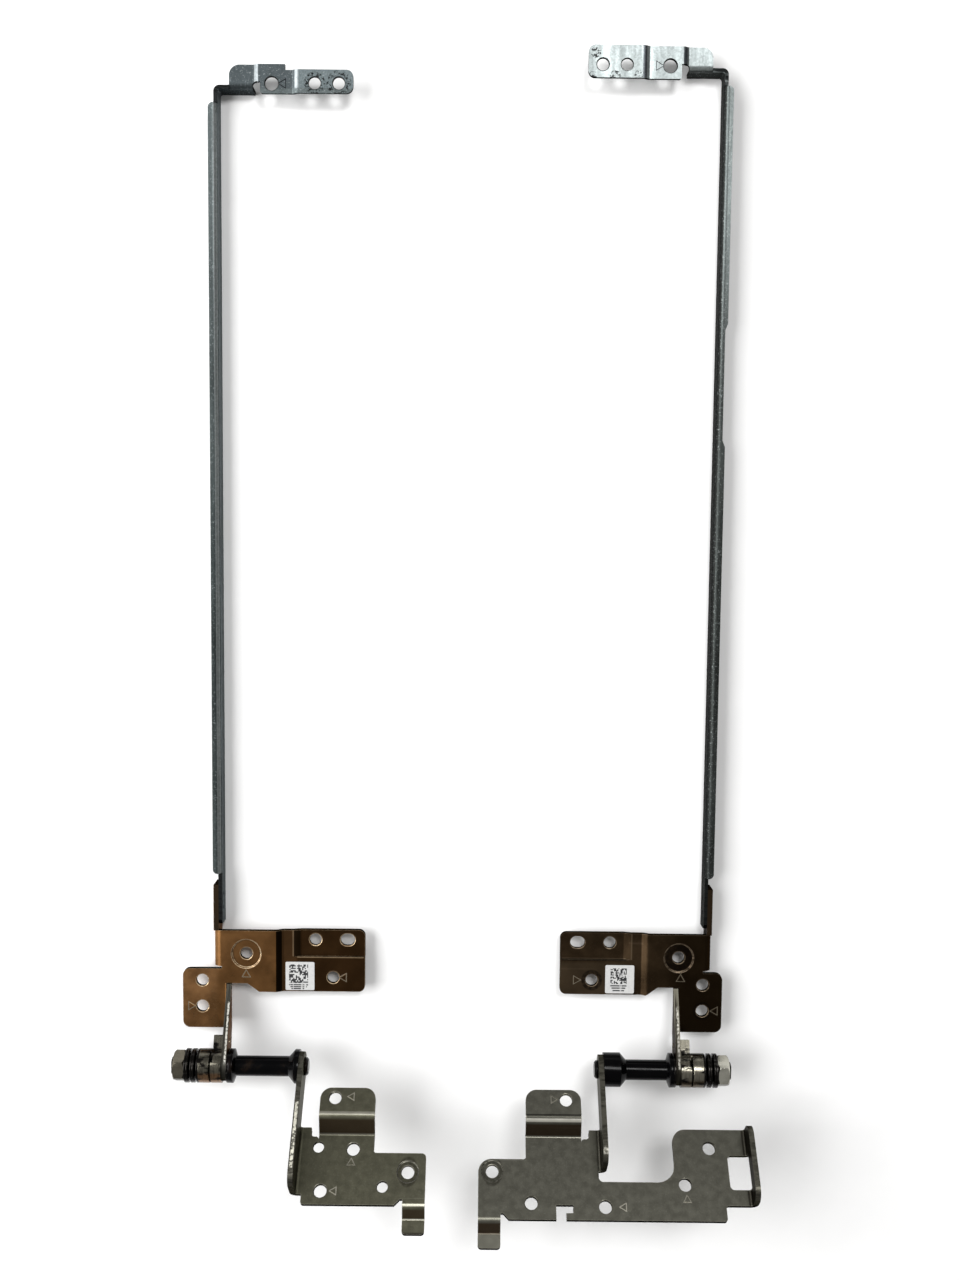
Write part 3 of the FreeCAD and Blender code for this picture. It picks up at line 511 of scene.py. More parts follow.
@dataclass(frozen=True)
class BlackOxide(Finish):
    """Black oxide on a turned shaft, with fine turning rings and brown rubbing."""

    colour: Colour = (0.0007, 0.0007, 0.0009)
    rubbed: Colour = (0.012, 0.007, 0.004)
    gloss: float = 0.09
    rings: Pattern = Pattern(4200.0, detail=2.0, stretch=(1.0, 0.03, 0.03))
    rubbing: Pattern = Pattern(300.0, (0.5, 0.75), 0.7, detail=4.0)
    rough: Span = (0.14, 0.24)
    relief: Span = (0.06, 0.02)

    def lay_out(self, sketch: Sketch) -> None:
        """Lay out the nodes."""
        rubbing = sketch.noise(self.rubbing)
        tone = sketch.mix(sketch.faded(rubbing, self.rubbing), self.colour, self.rubbed)
        sketch.feed(base_color=tone, specular_ior_level=self.gloss,
                    roughness=sketch.window(rubbing, *MID_LIMITS, *self.rough))
        sketch.bump(sketch.noise(self.rings), *self.relief)


@dataclass(frozen=True)
class PrintedPaper(Finish):
    """White sticker with a square of random cells and rows of plain bars, which say nothing.

    Places on the sticker are shares of its side, from its lower left corner.
    """

    corner: Triple
    size: float
    square: Triple
    bar_rows: Triple
    cells: int = 15
    dark_share: float = 0.56
    bar_height: float = 0.044
    bar_inset: float = 0.04
    dashes: Pattern = Pattern(2600.0, (0.4, 0.46), detail=1.0, stretch=(1.0, 0.02, 0.02))
    fibres: Pattern = Pattern(1800.0, (0.35, 0.7), detail=4.0)
    paper: Colour = (0.52, 0.52, 0.51)
    fibre: Colour = (0.47, 0.47, 0.47)
    ink: Colour = (0.012, 0.012, 0.014)
    relief: Span = (0.1, 0.02)

    def inside(self, sketch: Sketch, value: Socket, low: float, high: float) -> Socket:
        """One where a value lies between two limits, else zero."""
        above = sketch.sum("GREATER_THAN", value, low)
        return sketch.sum("MULTIPLY", above, sketch.sum("LESS_THAN", value, high))

    def lay_out(self, sketch: Sketch) -> None:
        """Lay out the nodes."""
        unit = sketch.moved((1.0 / self.size,) * 3, centre=self.corner)
        across = sketch.along(Axis.X, unit)
        upward = sketch.along(Axis.Y, unit)
        left, low, width = self.square
        counts = (sketch.sum("MULTIPLY", place, self.cells / width) for place in (across, upward))
        column, row = (sketch.sum("FLOOR", count, 0.0) for count in counts)
        cell = sketch.node("CombineXYZ", {"X": column, "Y": row}).outputs["Vector"]
        dice = sketch.node("TexWhiteNoise", {"Vector": cell}, noise_dimensions="2D")
        dark = sketch.sum("LESS_THAN", dice.outputs["Value"], self.dark_share)
        print_area = sketch.sum("MULTIPLY", self.inside(sketch, across, left, left + width),
                                self.inside(sketch, upward, low, low + width))
        ink = sketch.sum("MULTIPLY", dark, print_area)
        dash = sketch.faded(sketch.noise(self.dashes), self.dashes)
        half = self.bar_height / 2
        for index, height in enumerate(self.bar_rows):
            inset = self.bar_inset * index
            bar = sketch.sum("MULTIPLY", self.inside(sketch, upward, height - half, height + half),
                             self.inside(sketch, across, left + inset, left + width - inset))
            ink = sketch.sum("MAXIMUM", ink, sketch.sum("MULTIPLY", bar, dash))
        fibres = sketch.noise(self.fibres)
        paper = sketch.mix(sketch.faded(fibres, self.fibres), self.paper, self.fibre)
        sketch.feed(base_color=sketch.mix(ink, paper, self.ink), metallic=0.0, roughness=0.55)
        sketch.bump(fibres, *self.relief)


@dataclass(frozen=True)
class PaleFloor(Finish):
    """Matt pale table top."""

    name: str = "pale_floor"
    colour: Colour = (0.86, 0.86, 0.86)
    shade: Colour = (0.84, 0.84, 0.84)
    grain: Pattern = Pattern(60.0)

    def lay_out(self, sketch: Sketch) -> None:
        """Lay out the nodes."""
        grain = sketch.faded(sketch.noise(self.grain), self.grain)
        sketch.feed(base_color=sketch.mix(grain, self.colour, self.shade), roughness=0.9)


@dataclass(frozen=True)
class Mark:
    """Stamped triangle beside a hole, its centre in millimetres on the flat sheet."""

    x: float
    y: float
    tip: Tip
    radius: float = 1.35
    line: float = 0.17


def stand(name: str, shape: Shape) -> Piece:
    """Link an object of a finished shape, which is freed, to the scene."""
    mesh = bpy.data.meshes.new(name)
    shape.to_mesh(mesh)
    shape.free()
    piece = bpy.data.objects.new(name, mesh)
    bpy.context.scene.collection.objects.link(piece)
    return piece


def hang(piece: Piece, node: str, body: str) -> None:
    """Put a finished piece on its body, in place of a CAD node."""
    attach(piece, body)
    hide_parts(node)
    LOG.info("%s: %d faces", piece.name, len(piece.data.polygons))


def rounded_off(shape: Shape, edges: list[bmesh.types.BMEdge], size: float,
                segments: int = 2) -> list[bmesh.types.BMFace]:
    """Round some edges by a width in millimetres and return the new faces."""
    return bmesh.ops.bevel(shape, geom=edges, offset=size * MM, offset_type="OFFSET", affect="EDGES",
                           segments=segments, profile=0.5, material=-1, clamp_overlap=True)["faces"]


@dataclass
class DressedSheet:
    """Copy of a sheet node with rounded hole mouths, stamped marks and other finishes on cut edges."""

    node: str
    body: str
    thickness: float
    face: PlatedSheet | ZincSheet
    edge: ShearedEdge
    score: PlatedSheet
    rim: ShearedEdge
    marks: list[Matrix] = field(default_factory=list)
    stamps: list[Mark] = field(default_factory=list)
    dents: list[Vector] = field(default_factory=list)
    edge_round: float = 0.2
    stamp_depth: float = 0.09
    dent_radius: float = 2.2
    dent_depth: float = 0.1
    flat_angle: float = 0.4
    mouth_angle: float = 50.0
    smooth_angle: float = 35.0
    reach: float = 1.15
    mark_limits: Span = (0.5, 1.5)

    def rounded(self) -> Shape:
        """Merge the node's triangles into clean faces and round the mouths of holes and recesses."""
        shape = bmesh.new()
        layer = shape.faces.layers.int.new(RIM_LAYER)
        shape.from_mesh(frame["nodes"][self.node].data)
        bmesh.ops.remove_doubles(shape, verts=shape.verts, dist=MERGE_DISTANCE)
        bmesh.ops.dissolve_limit(shape, angle_limit=math.radians(self.flat_angle),
                                 verts=shape.verts, edges=shape.edges)
        for ring in self.rings(shape):
            for face in rounded_off(shape, ring, self.edge_round):
                face[layer] = 1
        return shape

    def rings(self, shape: Shape) -> list[list[bmesh.types.BMEdge]]:
        """Closed rings of sharp edges, such as the mouths of holes, which can be rounded one by one."""
        least = math.radians(self.mouth_angle)
        sharp = {e: True for e in shape.edges if e.is_manifold and e.calc_face_angle() > least}
        found = []
        while sharp:
            run = [sharp.popitem()[0]]
            for edge in run:
                around = (e for vert in edge.verts for e in vert.link_edges)
                run += [e for e in around if sharp.pop(e, False)]
            if len({vert for edge in run for vert in edge.verts}) == len(run):
                found.append(run)
        return found

    def stamp_tool(self, stamp: Mark, place: Matrix) -> Shape:
        """Triangular ring that cuts one mark's outline, where the flat sheet's face lies."""
        tool = bmesh.new()
        bmesh.ops.create_circle(tool, cap_ends=True, segments=3, radius=stamp.radius * MM)
        middle = tool.faces[:]
        bmesh.ops.inset_individual(tool, faces=middle, thickness=stamp.line * MM, use_even_offset=True)
        bmesh.ops.delete(tool, geom=middle, context="FACES_ONLY")
        ring = bmesh.ops.extrude_face_region(tool, geom=tool.faces[:])
        raised = [v for v in ring["geom"] if isinstance(v, bmesh.types.BMVert)]
        bmesh.ops.translate(tool, verts=raised, vec=(0, 0, 2 * self.stamp_depth * MM))
        bmesh.ops.recalc_face_normals(tool, faces=tool.faces)
        turn = Matrix.Rotation(math.radians(stamp.tip.value - 90.0), 4, "Z")
        spot = Matrix.Translation((stamp.x * MM, stamp.y * MM, -self.stamp_depth * MM))
        bmesh.ops.transform(tool, matrix=place @ spot @ turn, verts=tool.verts)
        if place.determinant() < 0:
            bmesh.ops.recalc_face_normals(tool, faces=tool.faces)
        return tool

    def dent_tool(self, centre: Vector) -> Shape:
        """Ball about a centre in metres that leaves the shallow dish of a spot weld."""
        tool = bmesh.new()
        bmesh.ops.create_uvsphere(tool, u_segments=32, v_segments=20, radius=self.dent_radius * MM)
        bmesh.ops.translate(tool, verts=tool.verts, vec=centre)
        return tool

    def cut(self, piece: Piece, tools: list[Shape]) -> None:
        """Cut closed shapes, which are freed, out of a piece and keep the result as its mesh."""
        for tool in tools:
            cutter = stand("cutter", tool)
            boolean = piece.modifiers.new("cut", "BOOLEAN")
            boolean.object = cutter
            boolean.operation = "DIFFERENCE"
            boolean.solver = "EXACT"
            evaluated = piece.evaluated_get(bpy.context.evaluated_depsgraph_get())
            result = bpy.data.meshes.new_from_object(evaluated)
            piece.modifiers.clear()
            piece.data = result
            bpy.data.objects.remove(cutter)

    def part_faces(self, piece: Piece) -> None:
        """Sort the faces by the thickness of metal behind them.

        Cut edges have more than the sheet behind them, and the floors of stamped marks a little less.
        """
        shape = bmesh.new()
        shape.from_mesh(piece.data)
        tree = BVHTree.FromBMesh(shape)
        reach = self.reach * self.thickness * MM
        smooth = math.radians(self.smooth_angle)
        rim = shape.faces.layers.int[RIM_LAYER]
        widest: dict[bmesh.types.BMFace, tuple[float, Vector]] = {}
        for corners in shape.calc_loop_triangles():
            a, b, c = (corner.vert.co for corner in corners)
            area = (b - a).cross(c - a).length
            if area >= widest.get(corners[0].face, (0.0, a))[0]:
                widest[corners[0].face] = (area, (a + b + c) / 3)
        for face in shape.faces:
            middle = widest[face][1]
            start = middle - face.normal * MERGE_DISTANCE
            depth = tree.ray_cast(start, -face.normal, reach)[3]
            face.material_index = (Surface.RIM if face[rim] else self.kind(depth)).value
            face.smooth = True
        for edge in shape.edges:
            edge.smooth = edge.is_manifold and edge.calc_face_angle() < smooth
        shape.to_mesh(piece.data)
        shape.free()

    def kind(self, depth: float | None) -> Surface:
        """Sort of a face by the metal behind it in metres, None for more than the sheet."""
        if depth is None:
            return Surface.EDGE
        stamped = (self.thickness - depth / MM) / self.stamp_depth
        least, most = self.mark_limits
        return Surface.MARK if least < stamped < most else Surface.FACE

    def build(self) -> None:
        """Make the piece, put it on its body and hide the node that it stands for."""
        piece = stand(f"{self.node}_sheet", self.rounded())
        tools = [self.stamp_tool(stamp, place) for stamp, place in zip(self.stamps, self.marks)]
        tools += [self.dent_tool(centre) for centre in self.dents]
        self.cut(piece, tools)
        piece.data.materials.clear()
        for finish in (self.face, self.edge, self.score, self.rim):
            piece.data.materials.append(finish.material())
        self.part_faces(piece)
        weighted = piece.modifiers.new("even_shading", "WEIGHTED_NORMAL")
        weighted.keep_sharp = True
        hang(piece, self.node, self.body)


@dataclass
class DressedNode:
    """CAD node that stays in view, with softened edges and a finish."""

    node: str
    edge_round: float = 0.08
    sharp_angle: float = 40.0

    def build(self, finish: Material) -> None:
        """Add the modifiers and the material."""
        piece = frame["nodes"][self.node]
        piece.data.materials.clear()
        piece.data.materials.append(finish)
        weld = piece.modifiers.new("merge", "WELD")
        weld.merge_threshold = MERGE_DISTANCE
        bevel = piece.modifiers.new("soft_edges", "BEVEL")
        bevel.width = self.edge_round * MM
        bevel.segments = 2
        bevel.limit_method = "ANGLE"
        bevel.angle_limit = math.radians(self.sharp_angle)
        weighted = piece.modifiers.new("even_shading", "WEIGHTED_NORMAL")
        weighted.keep_sharp = False
        LOG.info("%s dressed", self.node)


@dataclass
class DisplayArm:
    """Display bracket, rail and label of one hinge."""

    side: Side
    bracket_face: PlatedSheet
    rail_face: ZincSheet
    edge: ShearedEdge
    score: PlatedSheet
    rim: ShearedEdge
    stamps: list[Mark]
    rail_stamp: Mark
    label: "StickerLabel"
    bracket_sheet: float = 1.2
    rail_sheet: float = 0.8
    plate_below_axis: float = 5.5
    step_x: float = -44.0
    step_drop: float = 0.8
    rail_rise: float = 0.6
    weld_y: Span = (36.3, 39.8)
    weld_height: float = 2.4
    web_face: float = 58.0

    def flat(self, below_axis: float) -> Matrix:
        """Placement of the sheet's drawing, sunk by millimetres and mirrored for the right hinge."""
        joint = self.side.joint
        place = Matrix.Translation((self.side.midline, joint.y, joint.z - below_axis * MM))
        return place @ Matrix.Diagonal((self.side.inboard, 1.0, 1.0, 1.0))

    def build(self) -> None:
        """Make the bracket, the rail and the label."""
        name, body = self.side.value, self.side.display_body
        drops = [self.step_drop if stamp.x > self.step_x else 0.0 for stamp in self.stamps]
        places = [self.flat(self.plate_below_axis + drop) for drop in drops]
        DressedSheet(f"{name}_display_bracket", body, self.bracket_sheet, self.bracket_face, self.edge,
                     self.score, self.rim, places, self.stamps).build()
        joint = self.side.joint
        weld_out = DressedSheet.dent_radius - DressedSheet.dent_depth - self.web_face
        weld_x = self.side.midline + self.side.inboard * weld_out * MM
        welds = [Vector((weld_x, joint.y + y * MM, self.weld_height * MM)) for y in self.weld_y]
        on_tab = [self.flat(self.plate_below_axis - self.rail_rise)]
        DressedSheet(f"{name}_display_rail", body, self.rail_sheet, self.rail_face, ZINC_EDGE,
                     DARK_SCORE, ZINC_RIM, on_tab, [self.rail_stamp], welds).build()
        self.label.build()


@dataclass
class StickerLabel:
    """Thin square sticker with softly rounded corners on the display plate."""

    side: Side
    square: Triple
    bar_rows: Triple
    corner_round: float = 0.35
    edge_round: float = 0.03
    rim_angle: float = 60.0

    def build(self) -> None:
        """Make the sticker in place of its CAD node."""
        node = f"{self.side.value}_label"
        low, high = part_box(node)
        size = high - low
        shape = bmesh.new()
        bmesh.ops.create_cube(shape, size=1.0)
        bmesh.ops.scale(shape, vec=size, verts=shape.verts)
        bmesh.ops.translate(shape, vec=(low + high) / 2, verts=shape.verts)
        upright = [e for e in shape.edges if abs((e.verts[0].co - e.verts[1].co).z) > size.z / 2]
        rounded_off(shape, upright, self.corner_round, segments=5)
        rim = [e for e in shape.edges if e.calc_face_angle() > math.radians(self.rim_angle)]
        rounded_off(shape, rim, self.edge_round)
        piece = stand(f"{node}_sticker", shape)
        print_on = PrintedPaper(f"{node}_print", tuple(low), size.x, self.square, self.bar_rows)
        piece.data.materials.append(print_on.material())
        hang(piece, node, self.side.display_body)


@dataclass
class BaseSide:
    """Base bracket of one hinge, tilted up from the table."""

    side: Side
    face: PlatedSheet
    edge: ShearedEdge
    score: PlatedSheet
    rim: ShearedEdge
    stamps: list[Mark]
    raised: float = 4.0
    raised_from: float = -12.0
    sheet: float = 1.2
    plate_below_axis: float = 4.4
    tilt: float = -45.0
    shaft_span: float = 17.1

    def flat(self, lift: float) -> Matrix:
        """Placement of the plate's drawing, lifted by millimetres and mirrored for the right hinge."""
        joint = self.side.joint
        ear_x = joint.x + self.side.inboard * self.shaft_span * MM
        place = Matrix.Translation((ear_x, joint.y, joint.z))
        turn = Matrix.Rotation(math.radians(self.tilt), 4, "X")
        level = Matrix.Translation((0.0, 0.0, (lift - self.plate_below_axis) * MM))
        return place @ turn @ level @ Matrix.Diagonal((self.side.inboard, 1.0, 1.0, 1.0))

    def build(self) -> None:
        """Make the bracket."""
        lifts = [self.raised if stamp.y > self.raised_from else 0.0 for stamp in self.stamps]
        DressedSheet(f"{self.side.value}_base_bracket", "base_side", self.sheet, self.face, self.edge,
                     self.score, self.rim, [self.flat(lift) for lift in lifts], self.stamps).build()


@dataclass
class TorqueStack:
    """Shaft, washers, cam pieces, springs and nut of one hinge."""

    side: Side
    springs: int = 4
    cam_round: float = 0.12
    washer_round: float = 0.06
    spring_round: float = 0.1
    nut_round: float = 0.1

    def build(self, shaft: BlackOxide, ring: GreasedSteel, spring: GreasedSteel,
              nut: PlatedSheet) -> None:
        """Dress every turned piece, the cam pieces as the ring and the washers as the springs."""
        name = self.side.value
        steel, dark = ring.material(), spring.material()
        DressedNode(f"{name}_hinge_shaft").build(shaft.material())
        for part in ("cam_plate", "cam_follower"):
            DressedNode(f"{name}_{part}", self.cam_round).build(steel)
        for part in ("friction_washer", "thrust_washer"):
            DressedNode(f"{name}_{part}", self.washer_round).build(dark)
        for index in range(self.springs):
            DressedNode(f"{name}_disc_spring_{index + 1}", self.spring_round).build(dark)
        DressedNode(f"{name}_lock_nut", self.nut_round).build(nut.material())


@dataclass(frozen=True)
class SoftLight:
    """Square soft light aimed at the middle of the pair, in metres and watts."""

    name: str
    place: Triple
    size: float
    watts: float

    def build(self) -> None:
        """Hang the light."""
        data = bpy.data.lights.new(self.name, "AREA")
        data.size = self.size
        data.energy = self.watts
        light = bpy.data.objects.new(self.name, data)
        light.location = self.place
        light.rotation_euler = (-Vector(self.place)).to_track_quat("-Z", "Y").to_euler()
        bpy.context.scene.collection.objects.link(light)


@dataclass
class Studio:
    """Floor, soft lights and camera."""

    lens: float = 36.56
    sensor: float = 36.0
    clip_start: float = 0.01
    camera_from_axis: Triple = (3.42, 127.77, 300.6)
    pitch: float = -4.8
    roll: float = 0.6
    floor_size: float = 3.0
    floor_drop: float = 0.02
    world_colour: Colour = (1.0, 0.99, 0.97)
    world_strength: float = 0.3
    lights: tuple[SoftLight, ...] = (SoftLight("key_light", (-0.8, 0.15, 0.68), 0.9, 18.0),
                                     SoftLight("back_light", (0.2, 0.45, 0.9), 0.25, 4.5))

    def lay_floor(self) -> None:
        """Make the table top just under the part."""
        shape = bmesh.new()
        bmesh.ops.create_grid(shape, x_segments=2, y_segments=2, size=self.floor_size / 2)
        bmesh.ops.translate(shape, vec=(0, 0, -self.floor_drop * MM), verts=shape.verts)
        floor = stand("floor", shape)
        floor.data.materials.append(PaleFloor().material())

    def light_room(self) -> None:
        """Hang the lights and fill the world with a soft glow."""
        for light in self.lights:
            light.build()
        world = bpy.data.worlds.new("soft_room")
        world.use_nodes = True
        background = world.node_tree.nodes["Background"]
        background.inputs["Color"].default_value = (*self.world_colour, 1.0)
        background.inputs["Strength"].default_value = self.world_strength
        bpy.context.scene.world = world
        bpy.context.scene.view_settings.view_transform = "Standard"

    def set_camera(self) -> None:
        """Put the camera where the photograph was taken from."""
        data = bpy.data.cameras.new("camera")
        data.lens = self.lens
        data.sensor_fit = "VERTICAL"
        data.sensor_height = self.sensor
        data.clip_start = self.clip_start
        camera = bpy.data.objects.new("camera", data)
        joint = Side.LEFT.joint
        middle = Vector((Side.LEFT.midline, joint.y, joint.z))
        place = Matrix.Translation(middle + Vector(self.camera_from_axis) * MM)
        pitch = Matrix.Rotation(math.radians(self.pitch), 4, "X")
        camera.matrix_world = place @ pitch @ Matrix.Rotation(math.radians(self.roll), 4, "Z")
        bpy.context.scene.collection.objects.link(camera)
        bpy.context.scene.camera = camera

    def build(self) -> None:
        """Make the floor, lights, world and camera."""
        self.lay_floor()
        self.light_room()
        self.set_camera()
        LOG.info("studio ready")


# Ranges of X or Y, in metres, that the strips below are kept to.
POCKET_Y: Span = (-0.0777, -0.0710)
EAR_Y: Span = (-0.1010, -0.0880)
LEFT_RAISED_TAB: Span = (-0.0330, -0.0190)
LEFT_LOWER_TAB: Span = (-0.0126, -0.0070)
RIGHT_RAISED_TAB: Span = (0.0153, 0.0293)
RIGHT_LOWER_TAB: Span = (0.0040, 0.0102)
RIGHT_POCKET: Span = (0.0246, 0.0400)

# Left display bracket, the same finish as the right one; its bronze tone is partly painted reflection.
BRONZE = PlatedSheet(
    "left_display_bronze", (0.275, 0.142, 0.058), (0.195, 0.098, 0.038), (0.50, 0.31, 0.16),
    # Painted reflection: the plate darkens inboard, in steps.
    fades=(Fade(Axis.X, -0.0592, -0.0578, (0.170, 0.080, 0.026), 0.6),
           Fade(Axis.X, -0.0443, -0.0441, (0.078, 0.041, 0.018)),
           Fade(Axis.X, -0.0400, -0.0390, (0.043, 0.021, 0.008))),
    # Painted shade on the step, and painted shade and highlight along the pocket's edges.
    strips=(Strip(Axis.X, -0.0444, -0.0432, (0.010, 0.006, 0.003)),
            Strip(Axis.X, -0.0402, -0.0388, (0.016, 0.010, 0.005), 0.8, 0.0002, POCKET_Y),
            Strip(Axis.X, -0.04055, -0.0403, (0.40, 0.28, 0.17), 0.6, 0.0001, POCKET_Y),
            Strip(Axis.Y, -0.07800, -0.07775, (0.42, 0.30, 0.18), 0.7, 0.0001, (-0.0394, -0.0235))),
    # Ring of painted shade round the dimple.
    stains_and_shade=(StainAndShade(-0.05167, -0.07697, 0.00345, 0.00385, (0.06, 0.034, 0.016), 0.9),),
    # Edge colour: partly abrasion, partly painted highlight.
    edge_wear_and_highlight=(0.62, 0.45, 0.28))
# Right display bracket, the same finish as the left one; its dark brown is partly painted reflection.
BROWN = PlatedSheet(
    "right_display_brown", (0.064, 0.041, 0.022), (0.040, 0.025, 0.013), (0.17, 0.12, 0.08),
    # Painted reflection: darker towards +X.
    fades=(Fade(Axis.X, 0.0420, 0.0560, (0.014, 0.0085, 0.0038), 0.85),),
    # A lighter patch by the pocket, then painted shade and highlight along the pocket's edges.
    strips=(Strip(Axis.Y, -0.0865, -0.0790, (0.11, 0.08, 0.05), 0.45, 0.001, (0.0246, 0.0390)),
            Strip(Axis.Y, -0.07800, -0.07775, (0.012, 0.008, 0.005), 0.85, 0.0001, RIGHT_POCKET),
            Strip(Axis.Y, -0.07775, -0.07755, (0.22, 0.16, 0.10), 0.6, 0.0001, RIGHT_POCKET),
            Strip(Axis.X, 0.04125, 0.04150, (0.22, 0.16, 0.10), 0.6, 0.0001, POCKET_Y)),
    stains_and_shade=(StainAndShade(0.03183, -0.08287, 0.0, 0.0027), StainAndShade(0.05863, -0.08997, 0.0, 0.0024),
            StainAndShade(0.05273, -0.07698, 0.0, 0.0036)),
    # Edge colour: partly abrasion, partly painted highlight.
    edge_wear_and_highlight=(0.24, 0.18, 0.125))
BOSS_STAIN: Colour = (0.03, 0.027, 0.02)
FINE_CLOUD = Pattern(600.0, detail=5.0)
LEFT_NICKEL = PlatedSheet(
    "left_base_nickel", (0.152, 0.148, 0.105), (0.132, 0.129, 0.091), (0.40, 0.39, 0.31), (0.31, 0.36),
    cloud=FINE_CLOUD,
    # Painted reflection, highlight and shade on the tabs' joggles, and a darker line at the lower tab's
    # end.
    strips=(Strip(Axis.Y, -0.1153, -0.1121, (0.075, 0.048, 0.026), 0.8, 0.0007, LEFT_RAISED_TAB),
            Strip(Axis.Y, -0.1107, -0.1103, (0.44, 0.43, 0.36), 0.8, 0.0002, LEFT_RAISED_TAB),
            Strip(Axis.Y, -0.1158, -0.1155, (0.30, 0.29, 0.24), 0.6, 0.0002, LEFT_RAISED_TAB),
            Strip(Axis.Y, -0.1300, -0.1282, (0.085, 0.055, 0.030), 0.75, 0.0007, LEFT_LOWER_TAB),
            Strip(Axis.Y, -0.1271, -0.1268, (0.55, 0.54, 0.45), 0.85, 0.0002, LEFT_LOWER_TAB),
            Strip(Axis.Y, -0.1304, -0.1302, (0.55, 0.54, 0.46), 0.8, 0.0001, LEFT_LOWER_TAB),
            Strip(Axis.Y, -0.1340, -0.1324, (0.04, 0.036, 0.028), 0.85, 0.0001, LEFT_LOWER_TAB)),
    stains_and_shade=(StainAndShade(-0.01137, -0.12171, 0.0, 0.0026, BOSS_STAIN, 0.6),),
    # Edge colour: partly abrasion, partly painted highlight.
    edge_wear_and_highlight=(0.52, 0.50, 0.42))
RIGHT_NICKEL = PlatedSheet(
    "right_base_nickel", (0.153, 0.150, 0.123), (0.132, 0.129, 0.105), (0.38, 0.37, 0.32), (0.31, 0.36),
    cloud=FINE_CLOUD,
    # Painted reflection, highlight and shade on the tabs' joggles, painted shade on the fold and beside
    # the ear.
    strips=(Strip(Axis.Y, -0.1153, -0.1128, (0.045, 0.026, 0.012), 0.85, 0.0006, RIGHT_RAISED_TAB),
            Strip(Axis.Y, -0.1111, -0.1104, (0.025, 0.024, 0.020), 0.9, 0.0002, RIGHT_RAISED_TAB),
            Strip(Axis.Y, -0.1118, -0.1113, (0.95, 0.93, 0.82), 0.95, 0.0003, RIGHT_RAISED_TAB),
            Strip(Axis.Y, -0.1161, -0.1156, (0.15, 0.145, 0.12), 0.7, 0.0001, RIGHT_RAISED_TAB),
            Strip(Axis.Y, -0.1321, -0.1301, (0.060, 0.036, 0.018), 0.8, 0.0006, RIGHT_LOWER_TAB),
            Strip(Axis.Y, -0.1350, -0.1326, (0.235, 0.230, 0.190), 0.9, 0.0001, RIGHT_LOWER_TAB),
            Strip(Axis.X, 0.0665, 0.0672, (0.032, 0.029, 0.022), 0.85, 0.0003),
            Strip(Axis.X, 0.0325, 0.0332, (0.045, 0.042, 0.033), 0.7, 0.0003, (-0.1220, -0.1135))),
    stains_and_shade=(StainAndShade(0.00803, -0.12142, 0.0, 0.0026, BOSS_STAIN, 0.6),),
    # Edge colour: partly abrasion, partly painted highlight.
    edge_wear_and_highlight=(0.36, 0.35, 0.30))
# The two nuts are one nickel finish, painted as lit and shaded copies, the right one much lighter.
LEFT_NUT = PlatedSheet("left_nut_nickel", (0.17, 0.155, 0.122), (0.09, 0.082, 0.063),
                       (0.5, 0.47, 0.4), (0.16, 0.26))
RIGHT_NUT = PlatedSheet("right_nut_nickel", (0.62, 0.61, 0.53), (0.27, 0.26, 0.22),
                        (0.85, 0.83, 0.75), (0.14, 0.26))
FOLD_SHINE: Colour = (0.28, 0.305, 0.315)
FOLD_SHADE: Colour = (0.06, 0.066, 0.072)
SCUFF: Colour = (0.006, 0.006, 0.006)
SCUFF_SHARE = 0.95
LEFT_ZINC = ZincSheet(
    "left_rail_zinc", (0.060, 0.072, 0.072), (0.028, 0.034, 0.034), (0.064, 0.076, 0.081), 0.1250,
    (0.30, 0.33, 0.34), (0.10, 0.118, 0.120),
    # Painted highlight on the bend, and painted light on the web, which lies in shade.
    rail_strips=(Strip(Axis.X, -0.05835, -0.05775, (0.26, 0.28, 0.28), 0.8),
                 Strip(Axis.Z, -0.0010, 0.0036, (0.27, 0.30, 0.31), 0.85, 0.0003)),
    # Painted shine on the folds, and painted reflection across the middle of the tab.
    tab_strips=(Strip(Axis.X, -0.04878, -0.04801, FOLD_SHINE),
                Strip(Axis.X, -0.03850, -0.02550, (0.135, 0.163, 0.170), 0.8, 0.001),
                Strip(Axis.X, -0.03950, -0.03873, FOLD_SHINE)),
    scuffs=(StainAndShade(-0.03497, 0.12633, 0.0015, 0.0026, SCUFF, SCUFF_SHARE),
            StainAndShade(-0.02947, 0.12633, 0.0020, 0.0030, SCUFF, SCUFF_SHARE)))
RIGHT_ZINC = ZincSheet(
    # The third colour, the tab's near-white tone, is painted reflection.
    "right_rail_zinc", (0.046, 0.052, 0.050), (0.020, 0.022, 0.021), (0.25, 0.278, 0.278), 0.1280,
    (0.24, 0.26, 0.26), (0.12, 0.136, 0.135),
    # Painted shade on the bend.
    rail_strips=(Strip(Axis.X, 0.05825, 0.05905, (0.016, 0.017, 0.016), 0.9),),
    # Painted shade on the folds and on the web.
    tab_strips=(Strip(Axis.X, 0.04900, 0.04975, FOLD_SHADE),
                Strip(Axis.X, 0.03970, 0.04045, FOLD_SHADE),
                Strip(Axis.Z, -0.0010, 0.0042, (0.030, 0.032, 0.031), 0.9, 0.0003)),
    scuffs=tuple(StainAndShade(x, y, 0.0, radius, SCUFF, SCUFF_SHARE) for x, y, radius in (
        (0.0289, 0.1337, 0.0013), (0.0283, 0.1287, 0.0010), (0.0334, 0.1285, 0.0014),
        (0.0388, 0.1288, 0.0012))))
LOWER_EDGE = Strip(Axis.Y, -0.1400, -0.1262, (0.008, 0.006, 0.005), 0.95, 0.0004)
